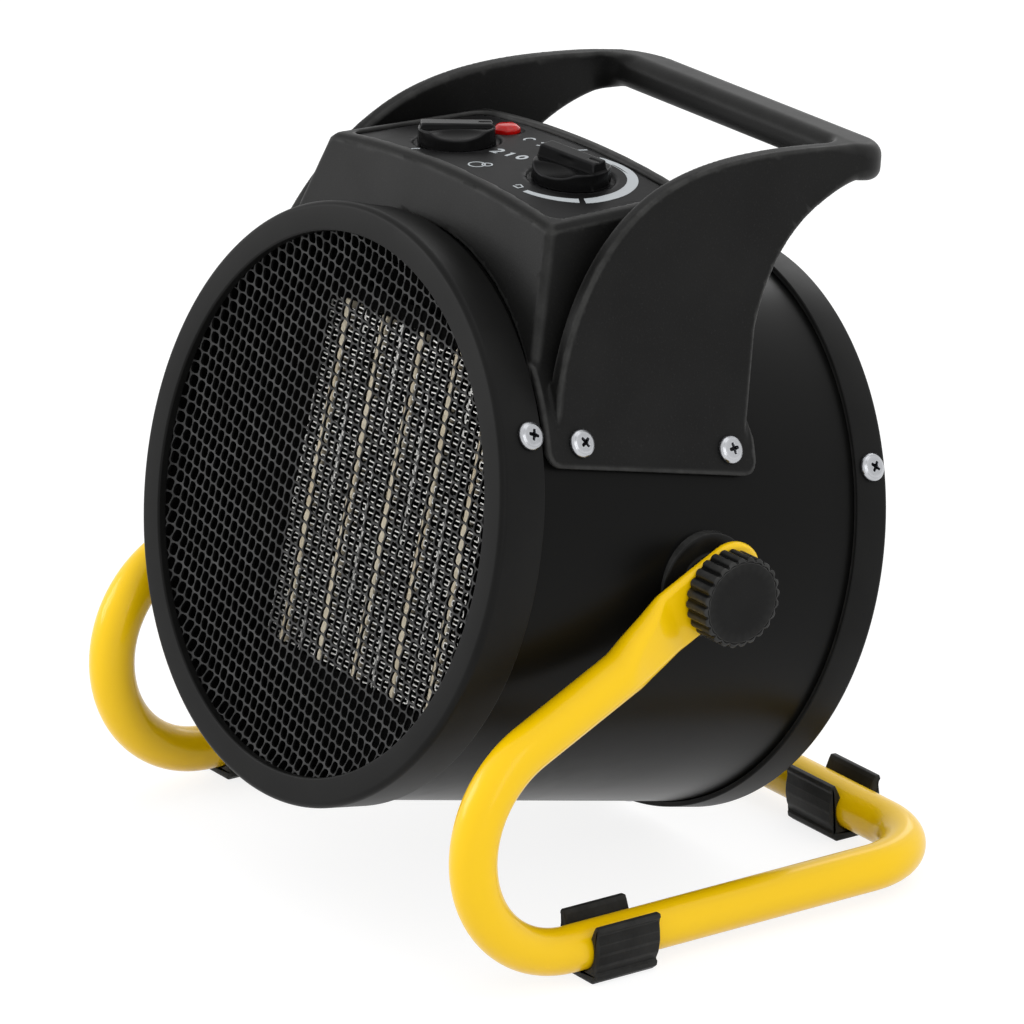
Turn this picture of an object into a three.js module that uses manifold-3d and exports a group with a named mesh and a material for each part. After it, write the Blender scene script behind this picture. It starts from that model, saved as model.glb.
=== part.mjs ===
// Workshop heater: a tilting drum with a ceramic element and a fan, on a bent tube stand.
// Millimetres, +Z up. The heater blows towards -Y and its right side is +X.
import * as THREE from 'three';
import { mergeVertices } from 'three/addons/utils/BufferGeometryUtils.js';
import Module from 'manifold-3d';

const wasm = await Module();
wasm.setup();

// Driving sizes of the whole heater
const drumRadius = 99;
const drumWall = 1;
const frontReach = 84;
const rearReach = 82;
const pivotSetback = 6;
const pivotRise = 4;
const pivotLift = 26;
const restTilt = THREE.MathUtils.degToRad(12.7);

// Fits
const clearance = 0.3;
const overrun = 5;
const drumSides = 40;
const smallSides = 12;

// Front bezel
const bezelWall = 3;
const bezelFace = 10.4;
const bezelDraft = 0.9;
const bezelDepth = 18.5;
const bezelRounding = 3.5;
const bezelRoundingSteps = 3;
const bezelLip = 3.5;
const bezelEase = 0.7;

// Front mesh
const meshThickness = 1;
const meshBorder = 10;
const meshCellWide = 14;
const meshCellHigh = 18.4;
const meshWire = 2;
const meshPointShare = 0.27;

// Ceramic element
const elementCornerGap = 16.7;
const elementDepth = 12;
const elementSetback = 30;
const stripWide = 3;
const stripPitch = 21.6;
const stripCount = 5;
const finFoil = 0.5;
const finPlate = 0.8;
const finFolds = 9;
const railHigh = 7;
const railOverhang = 3;
const railEar = 9;
const railEarThickness = 1.5;
const baffleSetback = 38;
const baffleThickness = 1.2;
const baffleFlange = 8;
const cutoutRadius = 8;
const cutoutThickness = 6;
const cutoutGap = 10;
const cutoutBaseShare = 0.34;
const cutoutCapShare = 0.75;

// Fan and motor
const fanTipGap = 14;
const fanHubRadius = 16;
const fanHubLong = 16;
const fanBlades = 5;
const bladeThickness = 1.4;
const bladeChordRoot = 24;
const bladeChordTip = 46;
const bladePitchRoot = THREE.MathUtils.degToRad(44);
const bladePitchTip = THREE.MathUtils.degToRad(20);
const bladeRadialSteps = 3;
const bladeChordSteps = 3;
const shaftRadius = 3;
const motorRadius = 28;
const motorLong = 28;
const motorBossRadius = 10;
const motorBossLong = 4;
const motorGap = 4;
const bracketHubRadius = 24;
const bracketArmWide = 14;
const bracketArms = 3;
const bracketThickness = 2;
const bracketTab = 10;
const bracketRearGap = 6.3;

// Rear ring and guard
const rearRingWide = 2;
const rearRingDepth = 13.6;
const rearRingLip = 11;
const rearRingWall = 1.5;
const rearRingEase = 1.6;
const guardThickness = 1.3;
const guardHubRadius = 13;
const guardRows = 4;
const guardSpokes = 6;
const guardSpokeWide = 6;
const guardSlotSteps = 2;
const guardRowWall = 5.5;
const guardBorder = 12;

// Handle housing, its flanges, side fins and bar
const housingGap = 1;
const flangeThickness = 3;
const flangeBottomAngle = THREE.MathUtils.degToRad(23);
const foldAngle = THREE.MathUtils.degToRad(30.5);
const flangeTopAngle = THREE.MathUtils.degToRad(43);
const flangeCorner = 5.5;
const flangeLong = 88.5;
const flangeTail = 3.5;
const finTaper = 0.19;
const finThickness = 6;
const finLead = 4.5;
const finLong = 137;
const handleRise = 51.5;
const barTall = 12.8;
const barDeep = 22;
const barRounding = 5;
const handleCorner = 15;
const boxTopHalfWidth = 64;
const boxFootInset = 8;
const boxFrontTaper = 0.1;
const boxLead = 4.5;
const boxTopDepth = 62;
const boxRise = 15;
const boxCrown = 4.4;
const boxCorner = 4;
const boxWall = 3;
const panelSlope = Math.tan(THREE.MathUtils.degToRad(12));
const archSteps = 6;

// Side fin outline, as shares of its length and height from its lower front corner
const finFootShare = -0.05;
const finFrontShare = [0, 0.12];
const finCrestShare = [0.29, 0.81];
const finFrontBendShares = [[0.015, 0.41], [0.12, 0.68]];
const finTopBendShares = [[0.45, 0.935], [0.67, 0.97]];
const finTopShare = [0.875, 1];
const finRearTopShare = [0.88, 0.87];
const finRearFootShare = [0.588, 0.36];
const finRearBendShares = [[0.715, 0.8], [0.612, 0.61]];
const finCurveSteps = 6;

// Control panel, its knobs, lamp and inner parts
const panelInset = 5;
const panelDrop = 1.4;
const panelThickness = 2.5;
const panelLedge = 4;
const panelLedgeThickness = 2.5;
const dialSpacing = 54.4;
const dialAhead = 1.1;
const dialStagger = 4;
const dialWellRadius = 15;
const dialWellDepth = 1.2;
const dialRadius = 13.4;
const dialBaseHigh = 4;
const dialGripLong = 25.5;
const dialGripWide = 7.5;
const thermostatGripHigh = 6.6;
const switchGripHigh = 4.2;
const dialBaseTopShare = 0.95;
const dialGripCornerShare = 0.6;
const dialGripRingShares = [[1, 0], [0.92, 0.8], [0.8, 1]];
const spindleRadius = 3;
const spindleReach = 7;
const lampRadius = 4.8;
const lampRise = 2.2;
const lampBodyRadius = 3.6;
const lampBodyLong = 14;
const lampDomeShares = [[1, 0.34], [0.6, 0.85]];
const lampBeside = 28.4;
const lampBehind = 17.2;
const thermostatWide = 30;
const thermostatDeep = 26;
const thermostatHigh = 11;
const switchWide = 26;
const switchDeep = 22;
const switchHigh = 9;
const terminalGap = 3;
const terminalDeep = 9;
const terminalHigh = 8;
const terminalFoot = 2;
const terminalSetback = 21;
const glandRadius = 7;
const glandFlangeRadius = 9.5;
const glandFlangeThickness = 2;
const glandLong = 14;
const glandBore = 4;
const glandTipShare = 0.8;
const glandRise = 16;
const wireSlotWide = 30;
const wireSlotDeep = 10;

// Stand tube
const tubeRadius = 8;
const tubeSides = 14;
const legGap = 10;
const legBendRadius = 40;
const legBendReach = 99.6;
const rearTubeReach = 97;
const cornerRadius = 30;
const bendSteps = 8;
const cornerSteps = 6;
const tabThickness = 4.4;
const tabHalfWidth = 12;
const tabSquareness = 0.35;
const tabSetIn = 2;
const tabLong = 20;
const flattenLong = 24;
const flattenSteps = 4;

// Rubber feet
const footLong = 26;
const footWall = 2.4;
const footSole = 3.2;
const footHalfFlat = 6;
const footMouth = THREE.MathUtils.degToRad(52);
const footLip = 3;
const footArcSteps = 6;
const footLipStandShare = 0.3;
const footLipFlareShare = 0.6;
const footShoulderTurn = 0.5;
const footRidgeShares = [[0.2, 0.62], [-0.2, 0.8]];
const frontFootInset = 3.6;
const rearFootInset = 16;

// Tilt clamps
const studRadius = 4;
const spacerRadius = 18;
const spacerEdge = 2;
const clampNutRadius = 13;
const nutSides = 6;
const clampNutDepth = 8;
const clampKnobRadius = 15.6;
const clampKnobThickness = 11;
const clampKnobFlutes = 24;
const clampKnobFlute = 1.1;
const clampKnobChamfer = 0.8;
const clampKnobWeb = 4;
const clampFluteShares = [[0, 0], [0.5, 0], [0.75, 1]];

// Screws
const screwHeadRadius = 4.9;
const screwHeadHigh = 2.6;
const screwShankRadius = 2;
const screwLong = 8;
const screwSides = 8;
const screwCrownShares = [[0.86, 0.6], [0.5, 0.94]];
const bezelScrewAngle = 28.8;
const rearScrewAngle = 25.5;
const bottomScrewAngle = 270;
const flangeScrewAngle = 27.7;
const bezelScrewInset = 5.5;
const ringScrewInset = 7;
const flangeFrontScrewInset = 14;
const flangeRearScrewInset = 11.5;

// Places worked out from the driving sizes, in the tilting body's frame (y from its middle plane)
const frontY = -frontReach;
const rearY = rearReach;
const pivotHeight = drumRadius + pivotLift;
const bezelRadius = drumRadius + bezelWall;
const mouthRadius = bezelRadius - bezelFace;
const rearRingRadius = drumRadius + rearRingWide;
const bezelSeamY = frontY + bezelDepth;
const meshFrontY = frontY + bezelLip + clearance;
const drumFrontY = meshFrontY + meshThickness + clearance;
const guardRearY = rearY - rearRingWall - clearance;
const drumRearY = guardRearY - guardThickness - clearance;
const drumInner = drumRadius - drumWall;
const coverInner = drumRadius + clearance;
const fanRadius = drumInner - fanTipGap;
const elementFrontY = frontY + elementSetback;
const elementHalfWide = ((stripCount - 1) / 2) * stripPitch + stripWide / 2;
const elementHalfHigh = Math.sqrt((drumInner - elementCornerGap) ** 2 - elementHalfWide ** 2);
const elementHeight = 2 * (elementHalfHigh - railHigh);
const baffleFrontY = frontY + baffleSetback;
const bracketFrontY = drumRearY - bracketRearGap - bracketThickness;
const motorFrontY = bracketFrontY - clearance - motorLong;
const fanFrontY = motorFrontY - motorBossLong - motorGap - fanHubLong;
const flangeFrontY = bezelSeamY + housingGap;
const flangeOuter = coverInner + flangeThickness;
const foldX = flangeOuter * Math.cos(foldAngle);
const foldHeight = flangeOuter * Math.sin(foldAngle);
const flangeBottom = flangeOuter * Math.sin(flangeBottomAngle);
const flangeTop = flangeOuter * Math.sin(flangeTopAngle);
const finFrontY = flangeFrontY + finLead;
const handleTop = drumRadius + handleRise;
const finTall = handleTop - foldHeight;
const boxTopHeight = drumRadius + boxRise;
const boxSideTaper = (foldX - boxFootInset - boxTopHalfWidth) / (boxTopHeight - foldHeight);
const glandHeight = drumRadius + glandRise;
const handleRearY = finFrontY + finLong;
const boxFrontY = flangeFrontY + boxLead;
const boxRearY = boxFrontY + boxTopDepth;
const dialSetback = boxTopDepth / 2 - dialAhead;
const lampSetback = dialSetback + lampBehind;
const legPlane = drumRadius + legGap;
const tabPlane = legPlane - tabSetIn;
const spacerSeat = tabPlane - tabThickness / 2 - clearance;
const clampNutInner = drumInner - clampNutDepth;
const studHole = studRadius + clearance;
const shankHole = screwShankRadius + clearance;

const finishes = {
  moulding: { color: 0x1b1b1c, roughness: 0.62, metalness: 0 },
  paintedSteel: { color: 0x151516, roughness: 0.4, metalness: 0.2 },
  yellowPaint: { color: 0xf7c800, roughness: 0.22, metalness: 0 },
  rubber: { color: 0x161616, roughness: 0.75, metalness: 0 },
  zinc: { color: 0xc9ccd0, roughness: 0.3, metalness: 1 },
  meshSteel: { color: 0x55575a, roughness: 0.45, metalness: 0.8 },
  aluminium: { color: 0xc4c4c0, roughness: 0.35, metalness: 1 },
  ceramic: { color: 0xd8ccb0, roughness: 0.7, metalness: 0 },
  redLens: { color: 0xc81818, roughness: 0.15, metalness: 0 },
  fanPlastic: { color: 0x2a2a2c, roughness: 0.55, metalness: 0 },
};

function heightAt(y) {
  return panelSlope * (y - boxFrontY);
}

function finFaceX(z) {
  return foldX - finTaper * (z - foldHeight);
}

// Mesh and solid helpers
function signedVolume(positions, index) {
  let total = 0;
  const corners = [new THREE.Vector3(), new THREE.Vector3(), new THREE.Vector3()];
  for (let i = 0; i < index.length; i += 3) {
    corners.forEach((corner, k) => corner.fromArray(positions, index[i + k] * 3));
    total += corners[0].dot(corners[1].clone().cross(corners[2]));
  }
  return total;
}

function solid(geometry) {
  const bare = geometry.clone();
  bare.deleteAttribute('normal');
  bare.deleteAttribute('uv');
  bare.clearGroups();
  const merged = mergeVertices(bare);
  const vertProperties = new Float32Array(merged.attributes.position.array);
  const corners = Array.from(merged.index.array);
  const triVerts = [];
  for (let i = 0; i < corners.length; i += 3) {
    const [a, b, c] = corners.slice(i, i + 3);
    if (a !== b && b !== c && c !== a) triVerts.push(a, b, c);
  }
  if (signedVolume(vertProperties, triVerts) < 0) triVerts.reverse();
  return new wasm.Manifold(
    new wasm.Mesh({ numProp: 3, vertProperties, triVerts: new Uint32Array(triVerts) }));
}

function joined(solids) {
  return solids.reduce((sum, next) => sum.add(next));
}

function cut(body, tools) {
  return tools.reduce((rest, tool) => rest.subtract(tool), body);
}

function geometryOf(body) {
  const mesh = body.getMesh();
  const geometry = new THREE.BufferGeometry();
  const positions = new Float32Array(mesh.vertProperties);
  geometry.setAttribute('position', new THREE.BufferAttribute(positions, mesh.numProp));
  geometry.setIndex(new THREE.BufferAttribute(new Uint32Array(mesh.triVerts), 1));
  const flat = geometry.toNonIndexed();
  flat.computeVertexNormals();
  return flat;
}

function part(name, body, finish) {
  const material = new THREE.MeshStandardMaterial({ ...finishes[finish] });
  const mesh = new THREE.Mesh(geometryOf(body), material);
  mesh.name = name;
  return mesh;
}

// A shape drawn in (y, z), extruded along x
function prismX(shape, fromX, toX, curveSegments = smallSides) {
  const geometry = new THREE.ExtrudeGeometry(shape,
    { depth: toX - fromX, bevelEnabled: false, curveSegments });
  geometry.applyMatrix4(new THREE.Matrix4().makeBasis(
    new THREE.Vector3(0, 1, 0), new THREE.Vector3(0, 0, 1), new THREE.Vector3(1, 0, 0)));
  geometry.translate(fromX, 0, 0);
  return geometry;
}

// A shape drawn in (x, z), extruded along y
function prismY(shape, fromY, toY, curveSegments = smallSides) {
  const geometry = new THREE.ExtrudeGeometry(shape,
    { depth: toY - fromY, bevelEnabled: false, curveSegments });
  geometry.applyMatrix4(new THREE.Matrix4().makeBasis(
    new THREE.Vector3(1, 0, 0), new THREE.Vector3(0, 0, 1), new THREE.Vector3(0, -1, 0)));
  geometry.translate(0, toY, 0);
  return geometry;
}

// A profile of [radius, place] turned about the y axis
function turnedY(profile, sides) {
  return new THREE.LatheGeometry(profile.map(([r, y]) => new THREE.Vector2(r, y)), sides);
}

function turnedX(profile, sides) {
  return turnedY(profile, sides).rotateZ(-Math.PI / 2);
}

function turnedZ(profile, sides) {
  return turnedY(profile, sides).rotateX(Math.PI / 2);
}

function rod(radius, from, to) {
  return [[0, from], [radius, from], [radius, to], [0, to]];
}

function tubeWall(inner, outer, from, to) {
  return [[inner, from], [outer, from], [outer, to], [inner, to], [inner, from]];
}

function block(wide, deep, high, x, y, z) {
  return new THREE.BoxGeometry(wide, deep, high).translate(x, y, z);
}

function circlePoints(radius, sides) {
  return Array.from({ length: sides }, (unused, k) => {
    const turn = (k / sides) * Math.PI * 2;
    return new THREE.Vector2(radius * Math.cos(turn), radius * Math.sin(turn));
  });
}

function roundedRect(fromX, fromY, toX, toY, radius) {
  const shape = new THREE.Shape();
  shape.moveTo(fromX + radius, fromY);
  shape.lineTo(toX - radius, fromY);
  shape.absarc(toX - radius, fromY + radius, radius, -Math.PI / 2, 0, false);
  shape.lineTo(toX, toY - radius);
  shape.absarc(toX - radius, toY - radius, radius, 0, Math.PI / 2, false);
  shape.lineTo(fromX + radius, toY);
  shape.absarc(fromX + radius, toY - radius, radius, Math.PI / 2, Math.PI, false);
  shape.lineTo(fromX, fromY + radius);
  shape.absarc(fromX + radius, fromY + radius, radius, Math.PI, Math.PI * 1.5, false);
  return shape;
}

// Closed skin through rings of points, all with the same count
function loft(rings) {
  const count = rings[0].length;
  const positions = rings.flat().flatMap((point) => point.toArray());
  const index = [];
  for (let level = 0; level < rings.length - 1; level += 1) {
    for (let k = 0; k < count; k += 1) {
      const a = level * count + k;
      const b = level * count + (k + 1) % count;
      index.push(a, b, b + count, a, b + count, a + count);
    }
  }
  const last = (rings.length - 1) * count;
  for (let k = 1; k < count - 1; k += 1) {
    index.push(0, k + 1, k);
    index.push(last, last + k, last + k + 1);
  }
  const geometry = new THREE.BufferGeometry();
  geometry.setAttribute('position', new THREE.Float32BufferAttribute(positions, 3));
  geometry.setIndex(index);
  return geometry;
}

// A surface point(u, v) given thickness along y
function plateAlongY(point, stepsU, stepsV, thickness) {
  const stride = stepsV + 1;
  const faceCount = (stepsU + 1) * stride;
  const positions = [];
  for (const side of [-1, 1]) {
    for (let i = 0; i <= stepsU; i += 1) {
      for (let j = 0; j <= stepsV; j += 1) {
        const at = point(i / stepsU, j / stepsV);
        positions.push(at.x, at.y + side * thickness / 2, at.z);
      }
    }
  }
  const index = [];
  const quad = (a, b, c, d) => index.push(a, b, c, a, c, d);
  for (let i = 0; i < stepsU; i += 1) {
    for (let j = 0; j < stepsV; j += 1) {
      const a = i * stride + j;
      quad(a, a + 1, a + stride + 1, a + stride);
      quad(a + faceCount, a + stride + faceCount, a + stride + 1 + faceCount, a + 1 + faceCount);
    }
  }
  const rim = [];
  for (let j = 0; j < stepsV; j += 1) rim.push(j);
  for (let i = 0; i < stepsU; i += 1) rim.push(i * stride + stepsV);
  for (let j = stepsV; j > 0; j -= 1) rim.push(stepsU * stride + j);
  for (let i = stepsU; i > 0; i -= 1) rim.push(i * stride);
  rim.forEach((a, k) => {
    const b = rim[(k + 1) % rim.length];
    quad(b, a, a + faceCount, b + faceCount);
  });
  const geometry = new THREE.BufferGeometry();
  geometry.setAttribute('position', new THREE.Float32BufferAttribute(positions, 3));
  geometry.setIndex(index);
  return geometry;
}

// Drum core used to cut whatever seats on the drum
function drumEnvelope(radius, fromY = frontY - overrun, toY = rearY + overrun) {
  return solid(turnedY(rod(radius, fromY, toY), drumSides));
}

// Screws: a domed head on a plain shank, along a radius of the drum
function screwSolid() {
  const head = [
    [0, -screwLong], [screwShankRadius, -screwLong], [screwShankRadius, 0],
    [screwHeadRadius, 0],
    ...screwCrownShares.map(([across, up]) => [screwHeadRadius * across, screwHeadHigh * up]),
    [0, screwHeadHigh],
  ];
  return solid(turnedX(head, screwSides));
}

function radialPose(angle, radius, y) {
  return new THREE.Matrix4()
    .makeRotationY(-THREE.MathUtils.degToRad(angle))
    .multiply(new THREE.Matrix4().makeTranslation(radius, 0, 0))
    .premultiply(new THREE.Matrix4().makeTranslation(0, y, 0));
}

function radialScrew(name, angle, seatRadius, y) {
  const screw = part(name, screwSolid(), 'zinc');
  screw.applyMatrix4(radialPose(angle, seatRadius + clearance, y));
  return screw;
}

function radialHole(angle, y) {
  const hole = turnedX(rod(shankHole, drumInner - screwLong, bezelRadius + overrun), screwSides);
  return solid(hole.applyMatrix4(radialPose(angle, 0, y)));
}

function ringAngles(first) {
  return [first, 180 - first, bottomScrewAngle];
}

function ringHoles(first, y) {
  return ringAngles(first).map((angle) => radialHole(angle, y));
}

const bezelScrewY = bezelSeamY - bezelScrewInset;
const ringScrewY = rearY - ringScrewInset;
const flangeScrewPlaces = [
  { name: 'front', y: flangeFrontY + flangeFrontScrewInset },
  { name: 'rear', y: flangeFrontY + flangeLong - flangeRearScrewInset },
];
const sides = [
  { name: 'right', sign: 1, angle: flangeScrewAngle },
  { name: 'left', sign: -1, angle: 180 - flangeScrewAngle },
];

function flangeHoles() {
  return sides.flatMap((side) => flangeScrewPlaces.map((place) => radialHole(side.angle, place.y)));
}

function pivotHole(radius) {
  const bore = turnedX(rod(radius, -legPlane - overrun, legPlane + overrun), smallSides);
  return solid(bore.translate(0, pivotSetback, pivotRise));
}

// Drum and its covers
function drum() {
  const wall = solid(turnedY(tubeWall(drumInner, drumRadius, drumFrontY, drumRearY), drumSides));
  const slotY = boxRearY - boxWall - wireSlotDeep;
  const slot = solid(block(wireSlotWide, wireSlotDeep, drumRadius, 0, slotY, drumRadius));
  const holes = [
    ...ringHoles(bezelScrewAngle, bezelScrewY),
    ...ringHoles(rearScrewAngle, ringScrewY),
    ...flangeHoles(),
  ];
  return part('drum', cut(wall, [...holes, pivotHole(studHole), slot]), 'paintedSteel');
}

function frontBezel() {
  const shoulder = frontY + bezelRounding;
  const profile = [
    [coverInner, bezelSeamY], [coverInner, frontY + bezelLip], [mouthRadius, frontY + bezelLip],
    [mouthRadius, frontY + bezelEase], [mouthRadius + bezelEase, frontY],
  ];
  for (let i = 0; i <= bezelRoundingSteps; i += 1) {
    const turn = (i / bezelRoundingSteps) * Math.PI / 2;
    profile.push([
      bezelRadius - bezelRounding + bezelRounding * Math.sin(turn),
      shoulder - bezelRounding * Math.cos(turn),
    ]);
  }
  profile.push([bezelRadius - bezelDraft, bezelSeamY], [coverInner, bezelSeamY]);
  const ring = solid(turnedY(profile, drumSides));
  return part('front_bezel', cut(ring, ringHoles(bezelScrewAngle, bezelScrewY)), 'moulding');
}

// Expanded-metal mesh: rows of upright six-sided openings, each row shifted by half a cell
function frontMesh() {
  const disc = new THREE.Shape(circlePoints(drumRadius, drumSides));
  const rowPitch = meshCellHigh * (1 - meshPointShare);
  const halfWide = (meshCellWide - meshWire) / 2;
  const halfHigh = (meshCellHigh - meshWire) / 2;
  const flatHalf = halfHigh - meshCellHigh * meshPointShare;
  const limit = drumRadius - meshBorder;
  const rows = Math.floor(limit / rowPitch);
  const columns = Math.ceil(limit / meshCellWide);
  for (let row = -rows; row <= rows; row += 1) {
    const shift = row % 2 === 0 ? 0 : meshCellWide / 2;
    for (let column = -columns; column <= columns; column += 1) {
      const x = column * meshCellWide + shift;
      const z = row * rowPitch;
      if (Math.hypot(Math.abs(x) + halfWide, Math.abs(z) + flatHalf) > limit) continue;
      if (Math.hypot(x, Math.abs(z) + halfHigh) > limit) continue;
      disc.holes.push(new THREE.Path([
        new THREE.Vector2(x, z + halfHigh), new THREE.Vector2(x + halfWide, z + flatHalf),
        new THREE.Vector2(x + halfWide, z - flatHalf), new THREE.Vector2(x, z - halfHigh),
        new THREE.Vector2(x - halfWide, z - flatHalf), new THREE.Vector2(x - halfWide, z + flatHalf),
      ]));
    }
  }
  const sheet = solid(prismY(disc, meshFrontY, meshFrontY + meshThickness));
  return part('front_mesh', sheet, 'meshSteel');
}

function rearRing() {
  const profile = [
    [coverInner, rearY - rearRingDepth], [rearRingRadius, rearY - rearRingDepth],
    [rearRingRadius, rearY - rearRingEase], [rearRingRadius - rearRingEase, rearY],
    [rearRingRadius - rearRingLip, rearY], [rearRingRadius - rearRingLip, rearY - rearRingWall],
    [coverInner, rearY - rearRingWall], [coverInner, rearY - rearRingDepth],
  ];
  const ring = solid(turnedY(profile, drumSides));
  return part('rear_ring', cut(ring, ringHoles(rearScrewAngle, ringScrewY)), 'paintedSteel');
}

// Rear guard: rows of curved slots round a plain centre, parted by spokes
function rearGuard() {
  const disc = new THREE.Shape(circlePoints(drumRadius, drumSides));
  const outerLimit = drumRadius - guardBorder;
  const rowPitch = (outerLimit - guardHubRadius + guardRowWall) / guardRows;
  for (let row = 0; row < guardRows; row += 1) {
    const inner = guardHubRadius + row * rowPitch;
    const outer = inner + rowPitch - guardRowWall;
    for (let k = 0; k < guardSpokes; k += 1) {
      const spoke = (k / guardSpokes) * Math.PI * 2;
      const start = spoke + Math.asin(guardSpokeWide / 2 / inner);
      const startOuter = spoke + Math.asin(guardSpokeWide / 2 / outer);
      const middle = spoke + Math.PI / guardSpokes;
      const hole = new THREE.Path();
      hole.absarc(0, 0, outer, startOuter, 2 * middle - startOuter, false);
      hole.absarc(0, 0, inner, 2 * middle - start, start, true);
      disc.holes.push(hole);
    }
  }
  const sheet = solid(prismY(disc, guardRearY - guardThickness, guardRearY, guardSlotSteps));
  return part('rear_guard', sheet, 'paintedSteel');
}

// Ceramic element: heater strips with folded fins between them, held by two rails
const finPackWide = stripPitch - stripWide - 2 * clearance;
const elementRearY = elementFrontY + elementDepth;

function ceramicStrip(number) {
  const x = (number - (stripCount + 1) / 2) * stripPitch;
  const middleY = (elementFrontY + elementRearY) / 2;
  const bar = block(stripWide, elementDepth, elementHeight, x, middleY, 0);
  return part(`ceramic_strip_${number}`, solid(bar), 'ceramic');
}

// A foil folded to and fro between two upright lines, its width measured across
function foldedFin(fromX, toX) {
  const rise = elementHeight / (2 * finFolds);
  const foilAcross = finFoil * Math.hypot(1, (toX - fromX) / rise);
  const turns = [];
  for (let k = 0; k <= 2 * finFolds; k += 1) {
    turns.push([k % 2 === 0 ? fromX : toX - foilAcross, k * rise - elementHeight / 2]);
  }
  const back = turns.map(([x, z]) => [x + foilAcross, z]).reverse();
  const outline = [...turns, ...back].map(([x, z]) => new THREE.Vector2(x, z));
  return solid(prismY(new THREE.Shape(outline), elementFrontY, elementRearY));
}

function finPack(number) {
  const x = (number - stripCount / 2) * stripPitch;
  const middleY = (elementFrontY + elementRearY) / 2;
  const plate = solid(block(finPlate, elementDepth, elementHeight, x, middleY, 0));
  const half = finPackWide / 2;
  const fins = [foldedFin(x, x + half), foldedFin(x - half, x)];
  return part(`fin_pack_${number}`, joined([plate, ...fins]), 'aluminium');
}

function elementRail(name, sign) {
  const wide = 2 * (elementHalfWide + railOverhang);
  const middleY = (elementFrontY + elementRearY) / 2;
  const z = sign * (elementHeight / 2 + clearance + railHigh / 2);
  const rail = solid(block(wide, elementDepth, railHigh, 0, middleY, z));
  const earY = baffleFrontY - clearance - railEarThickness / 2;
  const earZ = z + sign * (railHigh / 2 + railEar / 2 - overrun / 2);
  const ear = solid(block(wide, railEarThickness, railEar + overrun, 0, earY, earZ));
  return part(name, joined([rail, ear]), 'moulding');
}

function elementBaffle() {
  const radius = drumInner - clearance;
  const window = new THREE.Shape();
  const halfX = elementHalfWide + railOverhang + clearance;
  const halfZ = elementHeight / 2 + railHigh + 2 * clearance;
  window.moveTo(-halfX, -halfZ);
  window.lineTo(halfX, -halfZ);
  window.lineTo(halfX, halfZ);
  window.lineTo(-halfX, halfZ);
  const rearFace = baffleFrontY + baffleThickness;
  const plate = solid(turnedY(rod(radius, baffleFrontY, rearFace), drumSides));
  const rim = turnedY(tubeWall(radius - baffleThickness, radius, baffleFrontY,
    rearFace + baffleFlange), drumSides);
  const opening = solid(prismY(window, baffleFrontY - overrun, rearFace + overrun));
  return part('element_baffle', cut(joined([plate, solid(rim)]), [opening]), 'paintedSteel');
}

function thermalCutout() {
  const seat = baffleFrontY + baffleThickness + clearance;
  const profile = [
    [0, seat], [cutoutRadius, seat],
    [cutoutRadius, seat + cutoutThickness * cutoutBaseShare],
    [cutoutRadius * cutoutCapShare, seat + cutoutThickness * cutoutBaseShare],
    [cutoutRadius * cutoutCapShare, seat + cutoutThickness], [0, seat + cutoutThickness],
  ];
  const beside = elementHalfWide + railOverhang + cutoutRadius + cutoutGap / 2;
  return part('thermal_cutout',
    solid(turnedY(profile, smallSides).translate(beside, 0, 0)), 'ceramic');
}

// Fan, shaft, motor and the bracket that hangs the motor in the drum
function fanImpeller() {
  const hub = solid(turnedY(rod(fanHubRadius, fanFrontY, fanFrontY + fanHubLong), smallSides * 2));
  const middleY = fanFrontY + fanHubLong / 2;
  const blade = plateAlongY((u, v) => {
    const radius = THREE.MathUtils.lerp(fanHubRadius - overrun, fanRadius, u);
    const chord = THREE.MathUtils.lerp(bladeChordRoot, bladeChordTip, u);
    const pitch = THREE.MathUtils.lerp(bladePitchRoot, bladePitchTip, u);
    const along = (v - 0.5) * chord;
    const turn = along * Math.cos(pitch) / radius;
    return new THREE.Vector3(radius * Math.sin(turn), middleY + along * Math.sin(pitch),
      radius * Math.cos(turn));
  }, bladeRadialSteps, bladeChordSteps, bladeThickness);
  const blades = [];
  for (let k = 0; k < fanBlades; k += 1) {
    blades.push(solid(blade.clone().rotateY((k / fanBlades) * Math.PI * 2)));
  }
  const bore = turnedY(rod(shaftRadius + clearance, fanFrontY + overrun,
    fanFrontY + fanHubLong + overrun), smallSides);
  return part('fan_impeller', cut(joined([hub, ...blades]), [solid(bore)]), 'fanPlastic');
}

function rotorShaft() {
  const from = fanFrontY + overrun + clearance;
  const to = motorFrontY + motorLong;
  return part('rotor_shaft', solid(turnedY(rod(shaftRadius, from, to), smallSides)), 'zinc');
}

function fanMotor() {
  const rearFace = motorFrontY + motorLong;
  const profile = [
    [shaftRadius + clearance, motorFrontY - motorBossLong],
    [motorBossRadius, motorFrontY - motorBossLong], [motorBossRadius, motorFrontY],
    [motorRadius, motorFrontY + motorBossLong / 2], [motorRadius, rearFace],
    [shaftRadius + clearance, rearFace],
    [shaftRadius + clearance, motorFrontY - motorBossLong],
  ];
  return part('fan_motor', solid(turnedY(profile, smallSides * 2)), 'zinc');
}

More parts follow.
